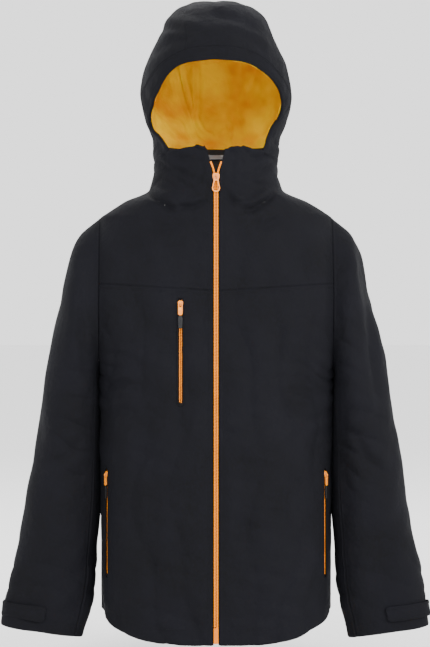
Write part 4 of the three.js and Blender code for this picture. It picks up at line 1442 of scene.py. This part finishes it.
def quilted(folds):
    """Loose wadding: low soft humps, over the folds of the cloth outside it."""
    return lambda points: (
        folds(points) + 0.5 * wander(points, 38, 90) - 0.8 - 5.0 * (1 - zip_calm(points, 24))
    )


def lined(folds):
    """Slack lining: soft upright folds, under the folds of the cloth outside it."""
    return lambda points: (
        folds(points) - 1.2 * creases(points, (1, 0.6, 0.1), 34, 71) - 0.6 - 5.0 * (1 - zip_calm(points, 24))
    )


class SKIJACKET_OT_layers(JacketOperator, bpy.types.Operator):
    """Makes the wadding, the lining, the pocket bags and the wind flap inside the body"""

    bl_idname = "ski_jacket.layers"
    bl_label = "Wadding and linings"

    def make(self, context, sizes):
        step = 13.0
        inner = lambda z: 24 + 0 * z
        for kind, depth, thick, folds, slot in (
            ("wadding", 4.3, 3.6, quilted, "wadding"),
            ("lining", 9.6, 0.8, lined, "lining_fabric"),
        ):
            front = even(body_form(inner_hem, neck_line, True, inner, depth), step, NO_SEAMS)
            back = even(whole_back(inner_hem, neck_line, depth), step, NO_SEAMS)
            held = None if kind == "wadding" else "hung"
            for place, form, outer in (
                ("front_left", front, ("last",)),
                ("front_right", mirrored(front), ("first",)),
                ("back", back, ("first", "last")),
            ):
                panel = dressed(form, folds(body_folds), fades=outer)
                obj = sewn(f"body_{kind}_{place}", panel, slot, thickness=thick, held=held)
        for name, (*_, (x0, z0, x1, z1)) in POCKETS.items():
            x = np.linspace(x0, x1, 18)[None, :]
            z = np.linspace(z0, z1, 30)[:, None]
            points = form_point(z, -angle_at(z, np.abs(x) + 0 * z), 5.0)
            points[..., 0] *= np.sign(x)
            grid = dressed(points, quilted(body_folds))
            sewn(f"{name}_pocket_bag", grid, "dark_lining", thickness=0.8)
        x = np.linspace(-23.5, 15.5, 12)[None, :]
        s = np.linspace(8, FRONT_LENGTH - 21, 110)[:, None]
        local = np.stack([x + 0 * s, 9.4 + 0.3 * np.sin(s / 31) + 0 * x, s + 0 * x], -1)
        grid = placed(front_frame, local.reshape(-1, 3)).reshape(local.shape)
        sewn("wind_flap", grid, "dark_lining")


def neck_folds(points):
    """The collar's folds: the hood's above, turning into the body's at the neck seam."""
    share = smooth((points[..., 2] - neck_z(points[..., 1])) / 34)
    return body_folds(points) * (1 - share) + hood_folds(points) * share


def collar_form(depth=0.0, inner=front_edge):
    """The collar's form from the left front edge round the neck to the right one."""

    def angle_of(z, share):
        edge = math.pi / 2 - angle_at(z, inner(z))
        return -math.pi / 2 + edge + (2 * math.pi - 2 * edge) * share

    share = np.linspace(0, 1, 520)
    wave = lambda x, y: 61 + 7 * near(np.abs(x), 42, 22) * (y < 0) + 2 * near(x, -34, 8) * (y < 0)
    top = lambda x, y: np.minimum(wave(x, y), hood_seam_z(y) + 0.2)
    low = level_where(lambda x, y: neck_z(y) - 0.25, angle_of, share, 0)
    high = level_where(top, angle_of, share, 45)
    z = low + (high - low) * np.linspace(0, 1, 90)[:, None]
    return form_point(z, angle_of(z, share[None, :] + 0 * z), depth)


class SKIJACKET_OT_collar(JacketOperator, bpy.types.Operator):
    """Makes the stand-up collar, its lining and the hang loop"""

    bl_idname = "ski_jacket.collar"
    bl_label = "Collar"

    def make(self, context, sizes):
        panel = dressed(even(collar_form(), sizes.cloth_step * 0.8), neck_folds)
        grid, normals = edged(panel, {"top": (2.6, 6), "first": (1.5, 8), "last": (1.5, 8)})
        sewn("collar", grid, "shell_fabric", normals=normals)
        for edge in ("first", "last"):
            topstitch("garment", panel, edge)
        inner = even(collar_form(5.4, lambda z: 22 + 0 * z), 7.0, NO_SEAMS)
        panel = dressed(inner, lambda p: 0.5 * wander(p, 40, 51))
        sewn("collar_lining", panel, "dark_lining", thickness=0.9)
        low, high = (v * 1000 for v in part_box("hang_loop"))
        path = [(low.x + 2, high.z), (low.x + 2, low.z + 9), (low.x + 4, low.z + 5), (low.x + 9, low.z + 2)]
        path += [
            (high.x - 9, low.z + 2), (high.x - 4, low.z + 5), (high.x - 2, low.z + 9), (high.x - 2, high.z)
        ]
        path = resampled(np.array([(x, 0, z) for x, z in path])[:, None], np.linspace(0, 1, 40))[:, 0]
        self.band(path, (low.y + high.y) / 2, high.y - low.y)

    def band(self, path, y, thick):
        """The webbing loop: a flat band on edge along its path, thickened at its bartacked ends."""
        tangent = np.gradient(path, axis=0)
        tangent /= np.linalg.norm(tangent, axis=1, keepdims=True)
        across = np.cross(tangent, [0, 1.0, 0])
        corner = [(-1, -1), (-0.6, -1), (0.6, -1), (1, -1), (1, 1), (0.6, 1), (-0.6, 1), (-1, 1)]
        bar = [
            path + across * 1.9 * a + np.array([0, y + b * thick * (0.36 if abs(a) > 0.8 else 0.48), 0])
            for a, b in corner
        ]
        rings = np.stack(bar, 1)
        faces = ring_faces(len(path), len(corner))
        obj = plain(rings.reshape(-1, 3), faces, "hang_loop", finish("webbing"))
        settle(obj, "hang_loop", "garment", "webbing")


brim_half = through(
    [(100, 138.9), (121, 138.8), (153, 135.8), (183, 122.3), (214, 91.9), (233.4, 47.4), (238, 1)]
)
brim_top = through([(0, 238), (47.4, 233.4), (91.9, 213.7), (122.3, 183.3)])
crown_z = through([(43, 329), (52, 324), (67.25, 318), (87.4, 295)])


def opening_angle(z, side="left"):
    """How far round from the side the face opening's edge stands; it is widest lower down on the right."""
    moved = FACE_LEAN[side] * smooth((208 - z) / 50) * smooth((z - 62) / 40)
    return angle_at(z, face_half(z + moved))


def front_boundary(z, side="left"):
    """How far round a side panel of the hood reaches: the opening, then the brim, then the crown seam."""
    band = np.maximum(
        angle_at(z, np.maximum(brim_half(z), CROWN_HALF)),
        np.arcsin((30 / front_depth(z)) ** (fullness(z) / 2)),
    )
    share = smooth((z - 112) / 42)
    low = opening_angle(z, side) * (1 - share) + band * share
    return np.where(z > 233, angle_at(z, CROWN_HALF + 0 * z), low)


def hood_side_form(side):
    share = np.linspace(0, 1, 220)
    v = np.linspace(0, 1, 260)[:, None]

    def angle_of(z, s):
        first = -front_boundary(z, side)
        last = angle_at(z, CROWN_HALF - 2.2 * smooth((z - 236) / 30))
        return first + (last - first) * s

    low = level_where(lambda x, y: hood_seam_z(y) - 0.2, angle_of, share, 45)
    z = low + (323.6 - low) * v
    return form_point(z, angle_of(z, share[None, :] + 0 * z))


def hood_centre_form():
    x = np.linspace(CROWN_HALF, -CROWN_HALF, 60)
    top = np.where(np.abs(x) > 43, crown_z(np.abs(x)), 329.0)
    seam = np.full(x.shape, 22.0)
    for _ in range(20):
        seam = hood_seam_z(form_point(seam, angle_at(seam, x))[..., 1]) + 0.15
    v = np.linspace(0, 1, 240)[:, None]
    back_z = seam + (top - 0.01 - seam) * np.sin(v * math.pi / 2)
    front_z = top + (brim_top(np.abs(x)) - 0.4 - top) * (1 - np.cos(v * math.pi / 2))
    back = form_point(back_z, angle_at(back_z, x + 0 * back_z))
    front = form_point(front_z, -angle_at(front_z, x + 0 * front_z))
    points = np.concatenate([back, front[1:]])
    points[..., 0] = x
    return points


def brim_form():
    """The band round the face opening: rows from its edge out, columns from the wearer's right to left."""
    inner, outer = [], []
    x = np.linspace(CROWN_HALF, 0, 60)[1:]
    top = brim_top(x)
    for side, sign in (("right", -1), ("left", 1)):
        z = np.linspace(118, FACE_TOP_Z, 160)
        inner.append(np.stack([z, sign * (math.pi / 2 - opening_angle(z, side))], -1))
        z = np.linspace(118, 232.9, 160)
        edge = np.stack([z, math.pi / 2 - front_boundary(z, side)], -1)
        edge = np.concatenate([edge, np.stack([top, math.pi / 2 - angle_at(top, x)], -1)])
        outer.append(edge * [1, sign])
    edges = []
    for line in (inner, outer):
        line = np.concatenate([line[0], line[1][::-1][1:]])
        at = form_point(line[:, 0], -math.pi / 2 + line[:, 1])
        run = np.concatenate([[0], np.cumsum(np.linalg.norm(np.diff(at, axis=0), axis=1))])
        share = np.linspace(0, run[-1], 420)
        edges.append(np.stack([np.interp(share, run, line[:, k]) for k in (0, 1)], -1))
    w = np.linspace(0, 1, 30)[:, None, None]
    both = edges[0] * (1 - w) + edges[1] * w
    return form_point(both[..., 0], -math.pi / 2 + both[..., 1])


def hood_lining_form():
    """The whole hood lining: from one edge of the face opening round the back to the other."""
    depth = 4.6
    share = np.linspace(0, 1, 420)
    v = np.linspace(0, 1, 260)[:, None]

    def angle_of(z, s):
        held = 0.02 * np.clip((FACE_TOP_Z - z) / 30, 0, 1)
        first = np.where(z < FACE_TOP_Z, held - opening_angle(z, "left"), -math.pi / 2)
        last = np.where(z < FACE_TOP_Z, math.pi + opening_angle(z, "right") - held, 1.5 * math.pi)
        return first + (last - first) * s

    low = level_where(lambda x, y: hood_seam_z(y) + 2, angle_of, share, 45)
    z = low + (328.0 - low) * v
    body = form_point(z, angle_of(z, share[None, :] + 0 * z), depth)
    crown = smooth((body[..., 2] - 250) / 40)
    body[..., 2] = np.minimum(body[..., 2], 323.6) - 5.0 * crown
    body[..., 0] *= 1 - 0.05 * crown
    last = body[-1]
    middle = last.mean(0)
    cap = [middle + (last - middle) * k + [0, 0, 2.0 * (1 - k * k)] for k in np.linspace(0.9, 0.0, 8)]
    return np.concatenate([body, np.stack(cap)])


def hood_lining_folds(points):
    """The bright lining: slack upright folds on the wearer's left and small crossed creases on the right."""
    x, _, z = np.moveaxis(points, -1, 0)
    off = 1.3 * wander(points, 70, 24) + 0.5 * wander(points, 28, 25)
    left = smooth((x + 10) / 60)
    off += 3.4 * left * (creases(points, (1, 0.25, 0.12), 24, 17) - 0.6)
    off += 0.9 * (1 - left) * (creases(points, (0.7, 0.1, 0.8), 30, 19, 1.3) - 0.6)
    for path, width, depth in (
        ([(-84, 236), (-76, 190), (-58, 140), (-40, 92)], 5, 11.0),
        ([(-70, 240), (-62, 196), (-48, 150), (-36, 104)], 4, 8.0),
        ([(-42, 246), (-41, 190), (-40, 128)], 3.5, 8.0),
        ([(-40, 130), (-30, 106), (-6, 92)], 4, 7.0),
        ([(-8, 150), (8, 156), (22, 150)], 3, 1.6),
        ([(20, 130), (26, 112), (24, 92)], 4, 3.5),
    ):
        off += fold(points, path, width, depth, front=False)
    loose = smooth((z - 78) / 26)
    return hood_folds(points) - np.maximum(off + 1.5, 0) * loose - 2.6 * smooth((z - 234) / 20)


class SKIJACKET_OT_hood(JacketOperator, bpy.types.Operator):
    """Makes the hood: centre panel, side panels, brim, lining, neck facing and label"""

    bl_idname = "ski_jacket.hood"
    bl_label = "Hood"

    def make(self, context, sizes):
        step = sizes.cloth_step * 0.8
        panel = dressed(
            even(hood_centre_form(), step),
            hood_folds,
            seams=("top", "bottom", "first", "last"),
            fades=("bottom",),
            dip=0.4,
        )
        sewn("hood_centre_panel", panel, "shell_fabric", "hood")
        for side, turned in (("left", lambda g: g), ("right", mirrored)):
            side_form = even(hood_side_form(side), step)
            front, back = ("first", "last") if side == "left" else ("last", "first")
            panel = dressed(
                turned(side_form), hood_folds, seams=("bottom", front, back), fades=("bottom",), dip=0.4
            )
            name = f"hood_side_panel_{side}"
            grid, normals = edged(panel, {front: (2.8, 7)})
            sewn(name, grid, "shell_fabric", "hood", normals=normals)
        panel = dressed(
            even(brim_form(), step, ((False, True), (False, False))), hood_folds, seams=("top",), dip=0.5
        )
        grid, normals = edged(panel, {"bottom": (2.8, 8)})
        sewn("hood_brim", grid, "shell_fabric", "hood", normals=normals)
        topstitch("hood", panel, "top", 4.0)
        topstitch("hood", panel, "bottom", 5.0)
        grid = even(hood_lining_form(), 3.6, NO_SEAMS)
        panel = dressed(grid, hood_lining_folds, fades=("bottom",))
        sewn("hood_lining", panel, "lining_fabric", "hood", thickness=0.8, join=True)
        low, high = (v * 1000 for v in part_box("neck_label"))
        x = np.linspace(-1, 1, 16)[None, :]
        z = np.linspace(0, 1, 8)[:, None]
        across = (low.x + high.x) / 2 + (high.x - low.x) / 2 * x
        level = low.z + 8 * z
        label = form_point(level + 0 * x, angle_at(level, across + 0 * z), 9.0)
        label[..., 0] = across + 0 * z
        label = dressed(label, hood_folds)
        sewn("neck_label", label[:, ::-1], "label_satin", "hood", thickness=0.5, held="stretched")
        angle = np.radians(np.linspace(24, 156, 90))[None, :]
        level = np.linspace(26, 79, 18)[:, None] + 0 * angle
        facing = dressed(form_point(level, angle + 0 * level, 7.6), hood_folds)
        obj = cloth("neck_facing", facing, finish("dark_lining"), 0.7)
        blended(obj, "hood")


class SKIJACKET_OT_sleeves(JacketOperator, bpy.types.Operator):
    """Makes both sleeves: top and under panels, wadding and lining"""

    bl_idname = "ski_jacket.sleeves"
    bl_label = "Sleeves"

    def make(self, context, sizes):
        step = sizes.cloth_step
        forms = {"top": even(sleeve_tube(142, -142), step), "under": even(sleeve_tube(-142, -218), step)}
        wadding = even(sleeve_tube(179, -179, 4.3, (5.8, 0.02)), 12.0, NO_SEAMS)
        lining = even(sleeve_tube(180, -180, 8.6, (5.9, 0.02)), 8.0, NO_SEAMS)
        for side, turned, folds in (
            ("left", lambda g: g, left_sleeve_folds),
            ("right", mirrored, right_sleeve_folds),
        ):
            body = f"sleeve_{side}"
            for piece, form in forms.items():
                panel = dressed(turned(form), folds, seams=("first", "last", "top"), fades=("top",))
                grid, normals = edged(panel, {"bottom": (sizes.hem_roll, 20)})
                name = f"sleeve_{piece}_panel_{side}"
                sewn(name, grid, "shell_fabric", body, normals=normals)
                topstitch(body, panel, "bottom", 19.0)
            panel = dressed(turned(wadding), quilted(folds), fades=("top",))
            obj = sewn(f"sleeve_wadding_{side}", panel, "wadding", body, thickness=3.4, held=None)
            panel = dressed(turned(lining), lined(folds), fades=("top",))
            sewn(f"sleeve_lining_{side}", panel, "lining_fabric", body, thickness=0.8, join=True)


class SKIJACKET_OT_cuffs(JacketOperator, bpy.types.Operator):
    """Makes the cuff tabs and the fastening patches below their free ends"""

    bl_idname = "ski_jacket.cuffs"
    bl_label = "Cuff tabs"

    def make(self, context, sizes):
        for side, turned, folds in (
            ("left", lambda g: g, left_sleeve_folds),
            ("right", mirrored, right_sleeve_folds),
        ):
            grid = even(sleeve_tube(88, 47, -0.2, (5.72, 5.33)), 3.0, NO_SEAMS)
            panel = dressed(turned(grid), folds)
            panel = panel + grid_normals(panel) * 0.3
            obj = cloth(f"cuff_patch_{side}", panel, finish("webbing"), 0.8, held="stretched")
            settle(obj, f"cuff_patch_{side}", f"sleeve_{side}", "webbing")
            strip = even(sleeve_tube(90, -67.5, 0.0, (5.75, 5.3)), 2.6)
            from_end = runs(strip, 1)
            height = np.linalg.norm(strip[-1] - strip[0], axis=-1)
            round_off = 9.0
            short = np.clip(round_off - from_end[0], 0, round_off)
            cut = round_off - np.sqrt(np.maximum(round_off**2 - short**2, 0))
            share = np.linspace(0, 1, len(strip))[:, None]
            trimmed = cut / height + share * (1 - 2 * cut / height)
            shaped = np.empty_like(strip)
            for c in range(strip.shape[1]):
                for k in range(3):
                    shaped[:, c, k] = np.interp(trimmed[:, c], share[:, 0], strip[:, c, k])
            free = smooth(1 - from_end / 60)
            edge = sum(near(away_from(shaped, s), 0, 1.1) for s in ("bottom", "top", "first", "last"))
            lift = (3.6 + 0.6 * free) - 1.0 * np.minimum(edge, 1) + 2.6 * smooth((shaped[..., 0] - 346) / 18)
            off = folds(strip) * context.scene.ski_jacket_sizes.fold_depth
            panel = shaped + grid_normals(strip) * (off + lift)[..., None]
            obj = cloth(f"cuff_tab_{side}", turned(panel), finish("shell_fabric"), 2.2, held="stretched")
            settle(obj, f"cuff_tab_{side}", f"cuff_tab_{side}", "shell_fabric")
            topstitch(f"cuff_tab_{side}", turned(panel), "bottom", 4.0)
            topstitch(f"cuff_tab_{side}", turned(panel), "top", 4.0)


def teeth(name, zip_size, matrix, rows, sizes, piece):
    """Rows of teeth as one piece: each row is (side, low, high, shift, spread)."""
    lines = [placed(matrix, teeth_line(zip_size, *row)) for row in rows]
    return along(name, lines, piece, sizes.tooth_pitch, "zip_teeth", 0.02)


class SKIJACKET_OT_front_zip(JacketOperator, bpy.types.Operator):
    """Makes the front zip: both rows of teeth, both tapes, the pin box, the slider and its pull"""

    bl_idname = "ski_jacket.front_zip"
    bl_label = "Front zip"

    def make(self, context, sizes):
        tooth = small_block("tooth", FRONT_ZIP["teeth"], 4.2, sizes.tooth_pitch * 0.86, 0.55, "zip_teeth")
        for side, sign, shift in (("left", 1, 0.0), ("right", -1, sizes.tooth_pitch / 2)):
            row = (sign, 27.0, FRONT_LENGTH - 3, shift, front_spread)
            name = f"front_zip_teeth_{side}"
            settle(teeth(name, FRONT_ZIP, front_frame, [row], sizes, tooth), name, "garment", "zip_teeth")
            name = f"front_zip_tape_{side}"
            tape = tape_strip(name, FRONT_ZIP, sign, -3.5, FRONT_LENGTH + 6, front_frame, front_spread)
            settle(tape, name, "garment", "zip_tape")
        bpy.data.objects.remove(tooth)
        block = rounded([(-4.2, -1), (4.2, -1), (4.2, 26), (-4.2, 26)], 1.6)
        points, faces = flat_piece([block], CHAIN_TOP - 0.6, CHAIN_LOW, 0.5)
        obj = plain(placed(front_frame, points), faces, "front_zip_box", finish("zip_teeth"))
        settle(obj, "front_zip_box", "garment", "zip_teeth")
        obj = zip_slider("front_zip_slider", FRONT_ZIP, SLIDER_REST, front_frame)
        settle(obj, "front_zip_slider", "front_slider", "zip_slider")
        obj = zip_pull("front_zip_pull", FRONT_ZIP, SLIDER_REST, front_frame)
        settle(obj, "front_zip_pull", "front_pull", "zip_slider")


def on_cloth(point):
    """A point on the form moved out to the folded front cloth."""
    x, z = point[0], point[2]
    base = on_front(x, z)
    across = on_front(x + 1, z) - on_front(x - 1, z)
    up = on_front(x, z + 1) - on_front(x, z - 1)
    normal = np.cross(across, up)
    normal /= np.linalg.norm(normal)
    off = float(body_folds(base[None])[0]) * bpy.context.scene.ski_jacket_sizes.fold_depth
    return base + normal * off


class SKIJACKET_OT_pocket_zips(JacketOperator, bpy.types.Operator):
    """Makes the chest and hand pocket zips with their piping, sliders, pulls and soft tabs"""

    bl_idname = "ski_jacket.pocket_zips"
    bl_label = "Pocket zips"

    def make(self, context, sizes):
        for name, (x, low, high, _) in POCKETS.items():
            matrix, length = pocket_frame(x, low, high)
            turn = math.atan2(matrix[0][1], matrix[0][0])
            tooth = small_block(
                "tooth", SMALL_ZIP["teeth"], 3.4, sizes.tooth_pitch * 0.86, 0.45, "zip_teeth", turn
            )
            rows = [(1, 1, length - 1, 0.0), (-1, 1, length - 1, sizes.tooth_pitch / 2)]
            obj = teeth(f"{name}_zip_teeth", SMALL_ZIP, matrix, rows, sizes, tooth)
            settle(obj, f"{name}_zip_teeth", "garment", "zip_teeth")
            bpy.data.objects.remove(tooth)
            tape = tape_strip(f"{name}_zip_tape", SMALL_ZIP, 1, -12, length + 12, matrix, inner=-11.0)
            settle(tape, f"{name}_zip_tape", "garment", "zip_tape")
            ring = rounded([(-5.2, -5.4), (5.2, -5.4), (5.2, length + 4.4), (-5.2, length + 4.4)], 3.0)
            loop = np.array([(a, 0, b) for a, b in ring + [ring[0]]])
            share = np.linspace(0, 1, 161)[:-1]
            loop = resampled(loop[:, None], share)[:, 0]
            path = np.array([on_cloth(p) for p in placed(matrix, loop)])
            piping = loop_piece(f"{name}_welt", path, matrix[1], 1.3, 0.8, "shell_fabric")
            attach(piping, "garment")
            rest = length - SMALL_ZIP["length"] - 1
            for part, maker, body, slot in (
                ("slider", zip_slider, "slider", "zip_slider"),
                ("pull", zip_pull, "pull", "zip_slider"),
                ("tab", zip_tab, "pull", "rubber_tab"),
            ):
                obj = maker(f"{name}_zip_{part}", SMALL_ZIP, rest, matrix)
                settle(obj, f"{name}_zip_{part}", f"{name}_{body}", slot)


class SKIJACKET_OT_stitching(JacketOperator, bpy.types.Operator):
    """Sews the topstitching that the cloth pieces remember, as one piece of thread work for each body"""

    bl_idname = "ski_jacket.stitching"
    bl_label = "Topstitching"

    def make(self, context, sizes):
        if not stitch_lines:
            raise RuntimeError("make the cloth pieces before their stitching")
        stitch = small_block("stitch", 0.7, 0.7, sizes.stitch_pitch * 0.72, 0.2, "thread")
        for place, lines in stitch_lines.items():
            obj = along(f"stitching_{place}", lines, stitch, sizes.stitch_pitch, "thread", 0.06)
            if place == "hood" or place.startswith("sleeve"):
                blended(obj, place)
            else:
                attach(obj, place)
        bpy.data.objects.remove(stitch)


FLOOR_Z = -842
FLOOR_HALF = 60000


class SKIJACKET_OT_stage(JacketOperator, bpy.types.Operator):
    """Sets up the pale studio floor, the soft lights and the camera"""

    bl_idname = "ski_jacket.stage"
    bl_label = "Stage"

    def make(self, context, sizes):
        corners = [(x * FLOOR_HALF, y * FLOOR_HALF, FLOOR_Z) for x, y in ((-1, -1), (1, -1), (1, 1), (-1, 1))]
        new_object("floor", corners, [(0, 1, 2, 3)], finish("paper"))
        for name, place, size, power, aim in (
            ("key_light", (-2.0, -3.4, 1.9), 2.0, 150, (0, 0, -0.1)),
            ("fill_light", (2.8, -2.6, 1.0), 2.2, 190, (0, 0, -0.2)),
            ("face_light", (0.3, -3.8, 0.5), 1.0, 24, (0, 0, 0.15)),
            ("back_light", (-0.6, 3.2, 3.0), 1.6, 90, (0, 0, -0.2)),
        ):
            lamp = bpy.data.lights.new(name, "AREA")
            lamp.size, lamp.energy = size, power
            obj = bpy.data.objects.new(name, lamp)
            context.scene.collection.objects.link(obj)
            obj.location = place
            obj.rotation_euler = (Vector(aim) - Vector(place)).to_track_quat("-Z", "Y").to_euler()
        world = bpy.data.worlds.new("studio")
        world.use_nodes = True
        world.node_tree.nodes["Background"].inputs["Color"].default_value = (1, 1, 1, 1)
        world.node_tree.nodes["Background"].inputs["Strength"].default_value = 1.9
        context.scene.world = world
        lens = bpy.data.cameras.new("camera")
        lens.sensor_fit, lens.sensor_height, lens.lens = "VERTICAL", 36, 125.8
        camera = bpy.data.objects.new("camera", lens)
        context.scene.collection.objects.link(camera)
        camera.location = (-0.0018, -4.0, -0.236)
        camera.rotation_euler = (math.radians(90), 0, 0)
        context.scene.camera = camera


class SKIJACKET_PT_panel(bpy.types.Panel):
    """The jacket's pieces, in the order in which they are made"""

    bl_label = "Ski Jacket"
    bl_idname = "SKIJACKET_PT_panel"
    bl_space_type = "VIEW_3D"
    bl_region_type = "UI"
    bl_category = "Ski Jacket"

    def draw(self, context):
        for group in (context.scene.ski_jacket_sizes, context.scene.ski_jacket_colours):
            for name in group.bl_rna.properties.keys():
                if name not in ("rna_type", "name"):
                    self.layout.prop(group, name)
        for operator in OPERATORS:
            self.layout.operator(operator.bl_idname)


OPERATORS = (
    SKIJACKET_OT_body,
    SKIJACKET_OT_layers,
    SKIJACKET_OT_collar,
    SKIJACKET_OT_hood,
    SKIJACKET_OT_sleeves,
    SKIJACKET_OT_cuffs,
    SKIJACKET_OT_front_zip,
    SKIJACKET_OT_pocket_zips,
    SKIJACKET_OT_stitching,
    SKIJACKET_OT_stage,
)
CLASSES = (SkiJacketSizes, SkiJacketColours, *OPERATORS, SKIJACKET_PT_panel)


def register():
    for cls in CLASSES:
        bpy.utils.register_class(cls)
    bpy.types.Scene.ski_jacket_sizes = bpy.props.PointerProperty(type=SkiJacketSizes)
    bpy.types.Scene.ski_jacket_colours = bpy.props.PointerProperty(type=SkiJacketColours)


def unregister():
    del bpy.types.Scene.ski_jacket_colours
    del bpy.types.Scene.ski_jacket_sizes
    for cls in reversed(CLASSES):
        bpy.utils.unregister_class(cls)


def main():
    register()
    bpy.ops.ski_jacket.body()
    bpy.ops.ski_jacket.layers()
    bpy.ops.ski_jacket.collar()
    bpy.ops.ski_jacket.hood()
    bpy.ops.ski_jacket.sleeves()
    bpy.ops.ski_jacket.cuffs()
    bpy.ops.ski_jacket.front_zip()
    bpy.ops.ski_jacket.pocket_zips()
    bpy.ops.ski_jacket.stitching()
    bpy.ops.ski_jacket.stage()


if __name__ == "__main__":
    main()
